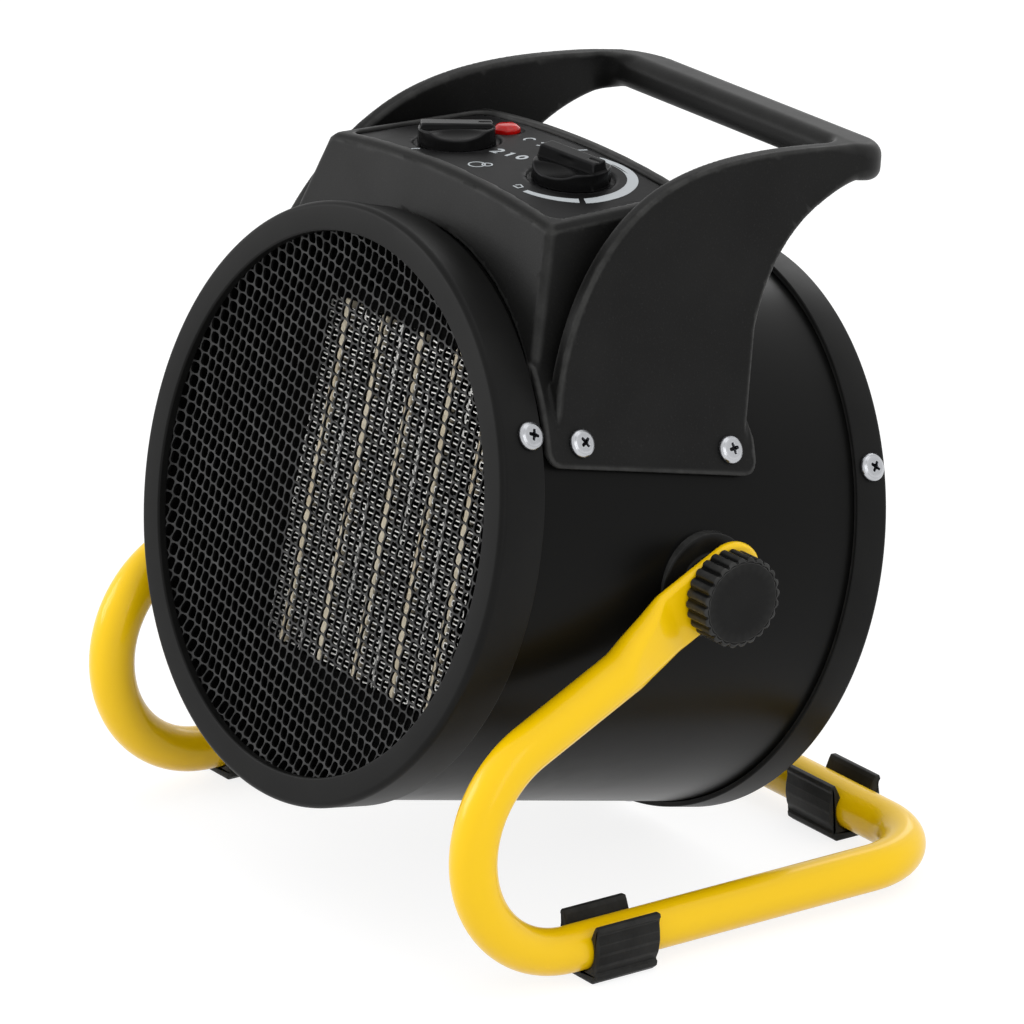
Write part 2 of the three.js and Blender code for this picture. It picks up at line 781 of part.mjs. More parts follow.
function motorBracket() {
  const rearFace = bracketFrontY + bracketThickness;
  const hub = solid(turnedY(
    tubeWall(motorBossRadius, bracketHubRadius, bracketFrontY, rearFace), smallSides * 2));
  const reach = drumInner - clearance;
  const pieces = [hub];
  for (let k = 0; k < bracketArms; k += 1) {
    const from = (motorBossRadius + bracketHubRadius) / 2;
    const arm = block(bracketArmWide, bracketThickness, reach + overrun - from, 0,
      (bracketFrontY + rearFace) / 2, (reach + overrun + from) / 2);
    const tab = block(bracketArmWide, bracketTab, 2 * overrun, 0, rearFace - bracketTab / 2, reach);
    const under = drumEnvelope(reach - bracketThickness, bracketFrontY - bracketTab * 2, bracketFrontY);
    const limb = joined([solid(arm), solid(tab).subtract(under)]);
    const turn = new THREE.Matrix4().makeRotationY((k / bracketArms) * Math.PI * 2);
    pieces.push(limb.transform(turn.elements).intersect(drumEnvelope(reach)));
  }
  return part('motor_bracket', joined(pieces), 'zinc');
}

// Handle housing
function planRing(halfWide, front, rear, radius, z) {
  const shape = roundedRect(-halfWide, front, halfWide, rear, radius);
  return shape.getPoints(3).slice(0, -1).map((point) => new THREE.Vector3(point.x, point.y, z));
}

function boxColumn(inset, fromZ, toZ) {
  const ring = (z) => {
    const below = boxTopHeight - z;
    const halfWide = boxTopHalfWidth + boxSideTaper * below - inset;
    const front = boxFrontY - boxFrontTaper * below + inset;
    return planRing(halfWide, front, boxRearY - inset, boxCorner, z);
  };
  return solid(loft([ring(fromZ), ring(toZ)]));
}

// Crowned, sloping slab whose top lies drop under the top of the box
function crownedSlab(drop, bottomDrop) {
  const halfWide = boxTopHalfWidth + boxSideTaper * boxTopHeight;
  const crownAt = (x) => boxTopHeight + boxCrown * (1 - (x / boxTopHalfWidth) ** 2);
  const points = [];
  for (let i = 0; i <= archSteps; i += 1) {
    const x = THREE.MathUtils.lerp(halfWide, -halfWide, i / archSteps);
    points.push(new THREE.Vector2(x, crownAt(x) - drop));
  }
  for (let i = 0; i <= archSteps; i += 1) {
    const x = THREE.MathUtils.lerp(-halfWide, halfWide, i / archSteps);
    points.push(new THREE.Vector2(x, crownAt(x) - bottomDrop));
  }
  const fromY = flangeFrontY - overrun;
  const slab = prismY(new THREE.Shape(points), fromY, boxRearY + overrun);
  const shear = new THREE.Matrix4().set(
    1, 0, 0, 0,
    0, 1, 0, 0,
    0, panelSlope, 1, -panelSlope * boxFrontY,
    0, 0, 0, 1);
  return solid(slab.applyMatrix4(shear));
}

const boxBottom = flangeBottom;
const boxTop = boxTopHeight + boxCrown + heightAt(boxRearY) + overrun;

function housingBox() {
  const outer = boxColumn(0, boxBottom, boxTop).intersect(crownedSlab(0, boxTopHeight));
  const panelTop = panelDrop + panelThickness + clearance;
  const recess = boxColumn(panelInset - clearance, boxBottom, boxTop + overrun)
    .intersect(crownedSlab(-2 * overrun, panelTop));
  const window = boxColumn(panelInset + panelLedge, boxBottom, boxTop + overrun)
    .intersect(crownedSlab(-2 * overrun, boxTopHeight));
  const cavity = boxColumn(boxWall, boxBottom - overrun, boxTop)
    .intersect(crownedSlab(panelTop + panelLedgeThickness, boxTopHeight + overrun));
  return { outer, hollows: [recess, window, cavity] };
}

function finOutline() {
  const at = ([along, up]) => [finFrontY + along * finLong, foldHeight + up * finTall];
  const shape = new THREE.Shape();
  shape.moveTo(...at([0, finFootShare]));
  shape.lineTo(...at(finFrontShare));
  shape.bezierCurveTo(...at(finFrontBendShares[0]), ...at(finFrontBendShares[1]), ...at(finCrestShare));
  shape.bezierCurveTo(...at(finTopBendShares[0]), ...at(finTopBendShares[1]), ...at(finTopShare));
  shape.lineTo(handleRearY - barRounding, handleTop);
  shape.lineTo(handleRearY, handleTop - barRounding);
  shape.lineTo(handleRearY, handleTop - barTall + barRounding);
  shape.lineTo(handleRearY - barRounding, handleTop - barTall);
  shape.lineTo(...at(finRearTopShare));
  shape.bezierCurveTo(...at(finRearBendShares[0]), ...at(finRearBendShares[1]), ...at(finRearFootShare));
  shape.lineTo(finFrontY + finRearFootShare[0] * finLong, foldHeight - overrun);
  return shape;
}

function leaning(geometry, sign) {
  const shear = new THREE.Matrix4().set(
    1, 0, -sign * finTaper, sign * (foldX + finTaper * foldHeight),
    0, 1, 0, 0,
    0, 0, 1, 0,
    0, 0, 0, 1);
  return solid(geometry.applyMatrix4(shear));
}

function sideFin(sign) {
  const from = sign > 0 ? -finThickness : 0;
  const to = sign > 0 ? 0 : finThickness;
  return leaning(prismX(finOutline(), from, to, finCurveSteps), sign);
}

function sideFlange(sign) {
  const rear = flangeFrontY + flangeLong;
  const shape = new THREE.Shape();
  shape.moveTo(flangeFrontY, flangeTop);
  shape.lineTo(flangeFrontY, flangeBottom + flangeCorner);
  shape.quadraticCurveTo(flangeFrontY, flangeBottom, flangeFrontY + flangeCorner, flangeBottom);
  shape.lineTo(rear - flangeCorner, flangeBottom);
  shape.quadraticCurveTo(rear, flangeBottom, rear, flangeBottom + flangeCorner);
  shape.lineTo(rear, foldHeight);
  shape.lineTo(rear - flangeTail, foldHeight + 2 * flangeCorner);
  shape.lineTo(rear - flangeTail, flangeTop);
  const from = sign > 0 ? 0 : -flangeOuter;
  const shell = drumEnvelope(flangeOuter);
  return shell.intersect(solid(prismX(shape, from, from + flangeOuter, 3)));
}

function handleBar() {
  const section = roundedRect(handleRearY - barDeep, handleTop - barTall, handleRearY, handleTop,
    barRounding);
  const halfLong = finFaceX(handleTop) - finThickness / 2;
  return solid(prismX(section, -halfLong, halfLong, 3));
}

function handlePlan() {
  const front = flangeFrontY - 2 * handleCorner;
  const ring = (z) => planRing(finFaceX(z), front, handleRearY, handleCorner, z);
  return solid(loft([ring(flangeBottom), ring(handleTop + overrun)]));
}

function handleHousing() {
  const handle = joined([handleBar(), sideFin(1), sideFin(-1)]).intersect(handlePlan());
  const box = housingBox();
  const gland = turnedY(rod(glandRadius + clearance, boxRearY - boxWall - overrun,
    boxRearY + overrun), smallSides).translate(0, 0, glandHeight);
  const shell = joined([box.outer, handle, sideFlange(1), sideFlange(-1)]);
  const body = cut(shell, [...box.hollows, drumEnvelope(coverInner), solid(gland), ...flangeHoles()]);
  return part('handle_housing', body, 'moulding');
}

// Control panel and everything that sits on it: local z is the panel's normal
function panelFrame(x, setback) {
  const y = boxFrontY + setback;
  const z = boxTopHeight + boxCrown * (1 - (x / boxTopHalfWidth) ** 2) + heightAt(y) - panelDrop;
  const tilt = Math.atan(panelSlope);
  const lean = Math.atan(-2 * boxCrown * x / boxTopHalfWidth ** 2);
  return new THREE.Matrix4()
    .makeTranslation(x, y, z)
    .multiply(new THREE.Matrix4().makeRotationX(tilt))
    .multiply(new THREE.Matrix4().makeRotationY(-lean));
}

const dials = [
  {
    name: 'thermostat', x: dialSpacing / 2, setback: dialSetback + dialStagger,
    wide: thermostatWide, deep: thermostatDeep, high: thermostatHigh, grip: thermostatGripHigh,
  },
  {
    name: 'switch', x: -dialSpacing / 2, setback: dialSetback - dialStagger,
    wide: switchWide, deep: switchDeep, high: switchHigh, grip: switchGripHigh,
  },
];

function controlPanel() {
  const plate = boxColumn(panelInset, boxBottom, boxTop)
    .intersect(crownedSlab(panelDrop, panelDrop + panelThickness));
  const tools = dials.flatMap((dial) => {
    const well = turnedZ(rod(dialWellRadius, -dialWellDepth, overrun), smallSides * 2);
    const hole = turnedZ(rod(spindleRadius + clearance, -2 * overrun, overrun), smallSides);
    const frame = panelFrame(dial.x, dial.setback);
    return [solid(well.applyMatrix4(frame)), solid(hole.applyMatrix4(frame))];
  });
  const lampHole = turnedZ(rod(lampBodyRadius + clearance, -2 * overrun, overrun), smallSides);
  tools.push(solid(lampHole.applyMatrix4(panelFrame(-lampBeside, lampSetback))));
  return part('control_panel', cut(plate, tools), 'moulding');
}

function pilotLamp() {
  const seat = clearance;
  const profile = [
    [0, -lampBodyLong], [lampBodyRadius, -lampBodyLong], [lampBodyRadius, seat],
    [lampRadius, seat],
    ...lampDomeShares.map(([across, up]) => [lampRadius * across, seat + lampRise * up]),
    [0, seat + lampRise],
  ];
  const lens = solid(turnedZ(profile, smallSides));
  const lamp = part('pilot_lamp', lens, 'redLens');
  lamp.applyMatrix4(panelFrame(-lampBeside, lampSetback));
  return lamp;
}

const dialFloor = -dialWellDepth + clearance;
const boreTop = dialFloor + dialBaseHigh;

function dialKnob(dial) {
  const base = solid(turnedZ([
    [0, dialFloor], [dialRadius, dialFloor],
    [dialRadius * dialBaseTopShare, dialFloor + dialBaseHigh], [0, dialFloor + dialBaseHigh],
  ], smallSides * 2));
  const halfLong = dialGripLong / 2;
  const halfWide = dialGripWide / 2;
  const ring = ([share, up]) => planRing(halfLong * share, -halfWide * share, halfWide * share,
    halfWide * share * dialGripCornerShare, boreTop + dial.grip * up);
  const root = planRing(halfLong, -halfWide, halfWide, halfWide * dialGripCornerShare,
    dialFloor + dialBaseHigh / 2);
  const grip = solid(loft([root, ...dialGripRingShares.map(ring)]));
  const bore = solid(turnedZ(rod(spindleRadius + clearance, dialFloor - overrun, boreTop), smallSides));
  const knob = part(`${dial.name}_knob`, cut(joined([base, grip]), [bore]), 'moulding');
  knob.applyMatrix4(panelFrame(dial.x, dial.setback));
  return knob;
}

function dialSpindle(dial) {
  const profile = rod(spindleRadius, -panelThickness - spindleReach, boreTop - clearance);
  const spindle = part(`${dial.name}_spindle`, solid(turnedZ(profile, smallSides)), 'zinc');
  spindle.applyMatrix4(panelFrame(dial.x, dial.setback));
  return spindle;
}

// The body hangs clear of the panel's crowned underside
function dialBody(dial) {
  const crownSag = boxCrown * (dial.wide / boxTopHalfWidth) ** 2;
  const top = -panelThickness - crownSag - clearance;
  const bore = turnedZ(rod(spindleRadius + clearance, top - spindleReach, overrun), smallSides);
  const body = solid(block(dial.wide, dial.deep, dial.high, 0, 0, top - dial.high / 2));
  const mesh = part(`${dial.name}_body`, body.subtract(solid(bore)), 'fanPlastic');
  mesh.applyMatrix4(panelFrame(dial.x, dial.setback));
  return mesh;
}

function terminalBlock() {
  const z = drumRadius + clearance + terminalFoot + terminalHigh / 2;
  const x = (switchWide - thermostatWide) / 4;
  const y = boxFrontY + terminalSetback;
  const terminalWide = dialSpacing - (thermostatWide + switchWide) / 2 - 2 * terminalGap;
  const body = solid(block(terminalWide, terminalDeep, terminalHigh, x, y, z));
  const foot = solid(block(terminalWide / 2, terminalDeep, terminalFoot * 2, x, y,
    drumRadius + clearance + terminalFoot));
  return part('terminal_block', joined([body, foot]).subtract(drumEnvelope(coverInner)), 'ceramic');
}

function cordGland() {
  const from = boxRearY - boxWall - glandFlangeThickness;
  const seat = boxRearY + clearance;
  const profile = [
    [glandBore, from], [glandRadius, from], [glandRadius, seat],
    [glandFlangeRadius, seat], [glandFlangeRadius, seat + glandFlangeThickness],
    [glandRadius, seat + glandFlangeThickness], [glandRadius * glandTipShare, from + glandLong],
    [glandBore, from + glandLong], [glandBore, from],
  ];
  const gland = turnedY(profile, smallSides).translate(0, 0, glandHeight);
  return part('cord_gland', solid(gland), 'rubber');
}

// Tilt clamps at both ends of the pivot axis
function atPivot(mesh, sign) {
  mesh.position.set(0, pivotSetback, pivotRise);
  if (sign < 0) mesh.rotation.z = Math.PI;
  return mesh;
}

function pivotSpacer(side) {
  const inner = drumRadius - 2 * overrun;
  const profile = [
    [studHole, inner], [spacerRadius, inner], [spacerRadius, spacerSeat - spacerEdge],
    [spacerRadius - spacerEdge, spacerSeat], [studHole, spacerSeat], [studHole, inner],
  ];
  const disc = solid(turnedX(profile, smallSides * 2));
  const drumHere = drumEnvelope(coverInner)
    .translate([0, -pivotSetback * side.sign, -pivotRise]);
  return atPivot(part(`pivot_spacer_${side.name}`, disc.subtract(drumHere), 'moulding'), side.sign);
}

function clampNut(side) {
  const outer = drumRadius;
  const hexagon = solid(turnedX(rod(clampNutRadius, clampNutInner, outer), nutSides));
  const bore = solid(turnedX(rod(studHole, clampNutInner - overrun, outer + overrun), smallSides));
  const inside = drumEnvelope(drumInner - clearance)
    .translate([0, -pivotSetback * side.sign, -pivotRise]);
  const nut = hexagon.subtract(bore).intersect(inside);
  return atPivot(part(`clamp_nut_${side.name}`, nut, 'zinc'), side.sign);
}

const tabOuter = tabPlane + tabThickness / 2;
const knobInner = tabOuter + clearance;
const knobOuter = knobInner + clampKnobThickness;

function clampStud(side) {
  const profile = rod(studRadius, clampNutInner, knobOuter - clampKnobWeb - clearance);
  return atPivot(part(`clamp_stud_${side.name}`, solid(turnedX(profile, smallSides)), 'zinc'), side.sign);
}

function clampKnob(side) {
  const shape = new THREE.Shape();
  const radius = clampKnobRadius - clampKnobChamfer;
  for (let k = 0; k < clampKnobFlutes; k += 1) {
    const step = Math.PI * 2 / clampKnobFlutes;
    clampFluteShares.forEach(([share, depth], i) => {
      const turn = (k + share) * step;
      const r = radius - clampKnobFlute * depth;
      const place = [r * Math.cos(turn), r * Math.sin(turn)];
      if (k === 0 && i === 0) shape.moveTo(...place);
      else shape.lineTo(...place);
    });
  }
  const geometry = new THREE.ExtrudeGeometry(shape, {
    depth: clampKnobThickness - 2 * clampKnobChamfer, bevelSegments: 1,
    bevelThickness: clampKnobChamfer, bevelSize: clampKnobChamfer, bevelEnabled: true,
  });
  geometry.rotateY(Math.PI / 2).translate(knobInner + clampKnobChamfer, 0, 0);
  const bore = turnedX(rod(studHole, knobInner - overrun, knobOuter - clampKnobWeb), smallSides);
  const knob = solid(geometry).subtract(solid(bore));
  return atPivot(part(`clamp_knob_${side.name}`, knob, 'moulding'), side.sign);
}

// Stand: one bent tube with flattened ends, in its own frame (y from the pivot, z from the floor)
const tubeHeight = footSole + tubeRadius;

// Places on an arc round a centre, both ends included
function arcPlaces(centre, from, to, steps) {
  const start = from.clone().sub(centre);
  const end = to.clone().sub(centre);
  const turn = start.angleTo(end);
  const axis = start.clone().cross(end).normalize();
  return Array.from({ length: steps + 1 }, (unused, i) => start.clone()
    .applyAxisAngle(axis, turn * i / steps).add(centre));
}

const sideways = new THREE.Vector3(1, 0, 0);
const pivotPlace = new THREE.Vector3(legPlane, 0, pivotHeight);
const bendCentre = new THREE.Vector3(legPlane, legBendRadius - legBendReach,
  tubeHeight + legBendRadius);

// The leg leaves the pivot along the line that touches the front bend
function legDirection() {
  const towards = bendCentre.clone().sub(pivotPlace);
  const aside = Math.asin(legBendRadius / towards.length());
  return towards.normalize().applyAxisAngle(sideways, -aside);
}

// Right half of the tube's middle line, each place with its outward side: bend, floor run, corner
function rightStations(direction) {
  const straight = Math.sqrt(bendCentre.distanceToSquared(pivotPlace) - legBendRadius ** 2);
  const tangent = pivotPlace.clone().addScaledVector(direction, straight);
  const nose = bendCentre.clone().setY(-legBendReach);
  const bottom = bendCentre.clone().setZ(tubeHeight);
  const cornerFrom = new THREE.Vector3(legPlane, rearTubeReach - cornerRadius, tubeHeight);
  const cornerCentre = cornerFrom.clone().setX(legPlane - cornerRadius);
  const cornerTo = cornerCentre.clone().setY(rearTubeReach);
  const bend = [
    ...arcPlaces(bendCentre, tangent, nose, bendSteps / 2).slice(0, -1),
    ...arcPlaces(bendCentre, nose, bottom, bendSteps / 2),
  ].map((place) => ({ place, outward: sideways }));
  const corner = arcPlaces(cornerCentre, cornerFrom, cornerTo, cornerSteps)
    .map((place) => ({ place, outward: place.clone().sub(cornerCentre).normalize() }));
  return [...bend, ...corner];
}

// Ring of skin round a place; squareness under 1 turns the oval into a rounded bar
function tubeRing(place, outward, heading, halfThick, halfWide, squareness) {
  const across = heading.clone().cross(outward).normalize();
  const eased = (share) => Math.sign(share) * Math.abs(share) ** squareness;
  return Array.from({ length: tubeSides }, (unused, k) => {
    const turn = (k / tubeSides) * Math.PI * 2;
    return place.clone().addScaledVector(outward, halfThick * eased(Math.cos(turn)))
      .addScaledVector(across, halfWide * eased(Math.sin(turn)));
  });
}

function flattenedRing(direction, along, roundShare) {
  const share = THREE.MathUtils.smoothstep(roundShare, 0, 1);
  const place = pivotPlace.clone().addScaledVector(direction, along)
    .addScaledVector(sideways, tabSetIn * (share - 1));
  return tubeRing(place, sideways, direction,
    THREE.MathUtils.lerp(tabThickness / 2, tubeRadius, share),
    THREE.MathUtils.lerp(tabHalfWidth, tubeRadius, share),
    THREE.MathUtils.lerp(tabSquareness, 1, share));
}

// Rings of the right half: flat tab, flattened length, leg, bend, floor run, corner
function rightRings(direction) {
  const rings = [flattenedRing(direction, 0, 0)];
  for (let i = 0; i <= flattenSteps; i += 1) {
    const share = i / flattenSteps;
    rings.push(flattenedRing(direction, tabLong + flattenLong * share, share));
  }
  const stations = rightStations(direction);
  stations.forEach(({ place, outward }, i) => {
    const before = i === 0 ? direction : place.clone().sub(stations[i - 1].place).normalize();
    const after = i === stations.length - 1 ? sideways.clone().negate()
      : stations[i + 1].place.clone().sub(place).normalize();
    const heading = before.clone().add(after).normalize();
    rings.push(tubeRing(place, outward, heading, tubeRadius, tubeRadius, 1));
  });
  return rings;
}

function mirroredRing(ring) {
  return ring.map((point) => point.clone().setX(-point.x));
}

function standTube() {
  const rings = rightRings(legDirection());
  const skin = solid(loft([...rings, ...rings.map(mirroredRing).reverse()]));
  const halfTab = tabThickness / 2;
  const tabs = sides.map(({ sign }) => solid(turnedX(
    rod(tabHalfWidth, sign * tabPlane - halfTab, sign * tabPlane + halfTab), smallSides * 2)
    .translate(0, 0, pivotHeight)));
  const bore = turnedX(rod(studHole, -legPlane - overrun, legPlane + overrun), smallSides);
  return part('stand_tube',
    cut(joined([skin, ...tabs]), [solid(bore.translate(0, 0, pivotHeight))]), 'yellowPaint');
}

// Rubber foot: a clip open at the top, with flared lips and a flat sole
function footShape() {
  const inner = tubeRadius + clearance;
  const outer = inner + footWall;
  const start = Math.PI / 2 + footMouth;
  const end = Math.PI * 2.5 - footMouth;
  const shape = new THREE.Shape();
  shape.moveTo(inner * Math.cos(start), inner * Math.sin(start));
  for (let i = 1; i <= 2 * footArcSteps; i += 1) {
    const turn = THREE.MathUtils.lerp(start, end, i / (2 * footArcSteps));
    shape.lineTo(inner * Math.cos(turn), inner * Math.sin(turn));
  }
  const lipRadius = outer + footLip * footLipStandShare;
  const rightSide = [
    [lipRadius * Math.cos(end) + footLip * footLipFlareShare, lipRadius * Math.sin(end) + footLip / 2],
    [outer * Math.cos(end - footShoulderTurn), outer * Math.sin(end - footShoulderTurn)],
    [outer, 0],
    [outer * Math.cos(footShoulderTurn), -outer * Math.sin(footShoulderTurn)],
    ...footRidgeShares.map(([stand, down]) => [outer + footLip * stand, -outer * down]),
    [footHalfFlat, -tubeHeight],
  ];
  rightSide.forEach(([x, z]) => shape.lineTo(x, z));
  [...rightSide].reverse().forEach(([x, z]) => shape.lineTo(-x, z));
  return shape;
}

function foot(name, x, y, alongX) {
  const clip = prismY(footShape(), -footLong / 2, footLong / 2);
  if (alongX) clip.rotateZ(Math.PI / 2);
  return part(name, solid(clip.translate(x, y, tubeHeight)), 'rubber');
}

const frontFootY = legBendRadius - legBendReach + frontFootInset + footLong / 2;
const rearFootX = legPlane - cornerRadius - rearFootInset - footLong / 2;

// Assembly
function stand() {
  const group = new THREE.Group();
  group.add(standTube());
  for (const side of sides) {
    group.add(foot(`front_foot_${side.name}`, side.sign * legPlane, frontFootY, false));
    group.add(foot(`rear_foot_${side.name}`, side.sign * rearFootX, rearTubeReach, true));
  }
  return group;
}

function heaterBody() {
  const group = new THREE.Group();
  group.add(drum(), frontBezel(), frontMesh(), rearRing(), rearGuard());
  group.add(elementBaffle(), elementRail('element_rail_top', 1), elementRail('element_rail_bottom', -1));
  for (let k = 1; k <= stripCount; k += 1) group.add(ceramicStrip(k));
  for (let k = 1; k < stripCount; k += 1) group.add(finPack(k));
  group.add(thermalCutout(), fanImpeller(), rotorShaft(), fanMotor(), motorBracket());
  group.add(handleHousing(), controlPanel(), pilotLamp(), terminalBlock(), cordGland());
  for (const dial of dials) group.add(dialKnob(dial), dialSpindle(dial), dialBody(dial));
  for (const side of sides) {
    group.add(pivotSpacer(side), clampNut(side), clampStud(side), clampKnob(side));
    for (const place of flangeScrewPlaces) {
      group.add(radialScrew(`flange_screw_${place.name}_${side.name}`, side.angle, flangeOuter, place.y));
    }
  }
  const bezelSeat = bezelRadius - bezelDraft / 2;
  const bezelAngles = ringAngles(bezelScrewAngle);
  const rearAngles = ringAngles(rearScrewAngle);
  ['right', 'left', 'bottom'].forEach((place, k) => {
    group.add(radialScrew(`bezel_screw_${place}`, bezelAngles[k], bezelSeat, bezelScrewY));
    group.add(radialScrew(`rear_ring_screw_${place}`, rearAngles[k], rearRingRadius, ringScrewY));
  });
  group.position.set(0, -pivotSetback, -pivotRise);
  const tilting = new THREE.Group();
  tilting.add(group);
  tilting.rotation.x = -restTilt;
  tilting.position.set(0, 0, pivotHeight);
  return tilting;
}

const heater = new THREE.Group();
heater.add(stand(), heaterBody());
heater.updateMatrixWorld(true);
const extent = new THREE.Box3().setFromObject(heater, true);
heater.position.y = -(extent.min.y + extent.max.y) / 2;

export default heater;
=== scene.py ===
"""Workshop heater: turned, moulded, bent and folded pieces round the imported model.

Lengths inside the functions are millimetres. Unless a docstring says otherwise, a point is given
in the drum's own frame: x to the right, y along the drum from front to rear, z up, and the
origin on the drum's axis.
"""

import math

import bmesh
import bpy
import numpy as np
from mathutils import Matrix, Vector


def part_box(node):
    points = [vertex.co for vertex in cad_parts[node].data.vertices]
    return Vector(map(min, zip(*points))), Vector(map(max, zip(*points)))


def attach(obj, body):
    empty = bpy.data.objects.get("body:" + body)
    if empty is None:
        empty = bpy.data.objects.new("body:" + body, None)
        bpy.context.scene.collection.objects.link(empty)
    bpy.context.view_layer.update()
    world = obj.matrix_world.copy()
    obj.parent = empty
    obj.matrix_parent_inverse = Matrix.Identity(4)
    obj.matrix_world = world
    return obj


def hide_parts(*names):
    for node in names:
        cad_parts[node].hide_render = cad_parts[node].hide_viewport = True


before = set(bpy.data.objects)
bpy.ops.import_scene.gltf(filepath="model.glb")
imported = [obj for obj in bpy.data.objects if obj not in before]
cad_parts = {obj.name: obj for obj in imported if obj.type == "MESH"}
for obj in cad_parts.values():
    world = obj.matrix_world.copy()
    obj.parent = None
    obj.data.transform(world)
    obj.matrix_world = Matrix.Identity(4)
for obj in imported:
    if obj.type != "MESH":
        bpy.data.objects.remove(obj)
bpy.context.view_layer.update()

import openvdb
from bpy.props import FloatProperty, FloatVectorProperty, IntProperty, PointerProperty
from mathutils import Matrix, Vector

bl_info = {
    "name": "Workshop Heater",
    "version": (1, 0, 0),
    "blender": (4, 5, 0),
    "location": "3D View > Sidebar > Heater",
    "description": "Builds a tilting drum heater on a bent tube stand",
    "category": "Add Mesh",
}

MM = 0.001

# Where the drum hangs: tilt, and the drum's axis seen from the pivot
TILT = math.radians(12.7)
PIVOT_SETBACK = 6.0
PIVOT_RISE = 4.0


def middle_of(node):
    """Middle of a node's box, in millimetres."""
    low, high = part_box(node)
    return np.array((low + high) / 2) / MM


PIVOT = middle_of("clamp_stud_right") * (0, 1, 1)
TILT_TURN = np.array([
    [1, 0, 0],
    [0, math.cos(TILT), math.sin(TILT)],
    [0, -math.sin(TILT), math.cos(TILT)],
])


def from_drum(points):
    """Drum frame to the model's frame: shift to the pivot, then turn by the tilt."""
    shifted = np.asarray(points, float) - (0, PIVOT_SETBACK, PIVOT_RISE)
    return shifted @ TILT_TURN.T + PIVOT


def from_stand(points):
    """Stand frame (y from the pivot, z from the floor) to the model's frame."""
    return np.asarray(points, float) + (0, PIVOT[1], 0)


def rows_of(data, key, width=3, kind=np.float32):
    """One property of all the vertices or edges of a mesh, a row for each."""
    flat = np.empty(len(data) * width, kind)
    data.foreach_get(key, flat)
    return flat.reshape(-1, width)


def drum_points(node):
    """Points of a node in the drum frame."""
    points = rows_of(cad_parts[node].data.vertices, "co") / MM
    return (points - PIVOT) @ TILT_TURN + (0, PIVOT_SETBACK, PIVOT_RISE)


def drum_box(node):
    """Lowest and highest corner of a node in the drum frame."""
    points = drum_points(node)
    return points.min(0), points.max(0)


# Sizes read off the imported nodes
DRUM = drum_box("drum")
BEZEL = drum_box("front_bezel")
RING = drum_box("rear_ring")
GUARD = drum_box("rear_guard")
HOUSING = drum_box("handle_housing")
STRIP = drum_box("ceramic_strip_3")
KNOB = drum_box("clamp_knob_right")
SPACER = drum_box("pivot_spacer_right")
DRUM_RADIUS = float(DRUM[1][0])
BEZEL_RADIUS = float(BEZEL[1][0])
RING_RADIUS = float(RING[1][0])
FRONT_Y = float(BEZEL[0][1])
SEAM_Y = float(BEZEL[1][1])
REAR_Y = float(RING[1][1])

# Sizes that the housing, its panel and the stand share with the model
COVER_INNER = DRUM_RADIUS + 0.3
MOUTH_RADIUS = BEZEL_RADIUS - 10.4
FLANGE_THICK = 3.0
FLANGE_OUTER = COVER_INNER + FLANGE_THICK
FLANGE_FRONT = SEAM_Y + 1
FLANGE_LONG = 88.5
FLANGE_BOTTOM = FLANGE_OUTER * math.sin(math.radians(23))
FLANGE_TOP = FLANGE_OUTER * math.sin(math.radians(43))
FOLD_X = FLANGE_OUTER * math.cos(math.radians(30.5))
FOLD_Z = FLANGE_OUTER * math.sin(math.radians(30.5))
HANDLE_TOP = float(HOUSING[1][2]) - 0.1
HANDLE_REAR = float(HOUSING[1][1])
FIN_TAPER = 0.19
FIN_FRONT = FLANGE_FRONT + 4.5
BOX_FRONT = FLANGE_FRONT + 4.5
BOX_REAR = BOX_FRONT + 62
BOX_TOP = DRUM_RADIUS + 15
BOX_HALF = 64.0
BOX_CROWN = 4.4
BOX_TAPER = (FOLD_X - 8 - BOX_HALF) / (BOX_TOP - FOLD_Z)
PANEL_SLOPE = math.tan(math.radians(12))
PANEL_DROP = 1.4
PANEL_THICK = 2.5
BAR_HIGH = 12.8
BAR_DEEP = 22
THERMOSTAT = (27.2, BOX_FRONT + 33.9)
SWITCH = (-27.2, BOX_FRONT + 25.9)
LAMP = (-28.4, BOX_FRONT + 47.1)
DIAL_RADIUS = 13.4
TUBE_RADIUS = 8.0
TUBE_HEIGHT = 3.2 + TUBE_RADIUS
LEG_PLANE = DRUM_RADIUS + 10
TAB_PLANE = LEG_PLANE - 2
TAB_THICK = 4.4
TAB_ASIDE = 2.5
MESH_THICK = 1.1
MESH_DEPTHS = (0.0, 0.12, 0.45)
SCREW_RADIUS = 4.9
SCREW_HIGH = 2.6
SCREW_SUNK = 0.25


# Small helpers -----------------------------------------------------------------------------

def smooth_step(low, high, value):
    """0 below low, 1 above high, and 3t^2 - 2t^3 between them."""
    t = np.clip((value - low) / (high - low), 0, 1)
    return t * t * (3 - 2 * t)


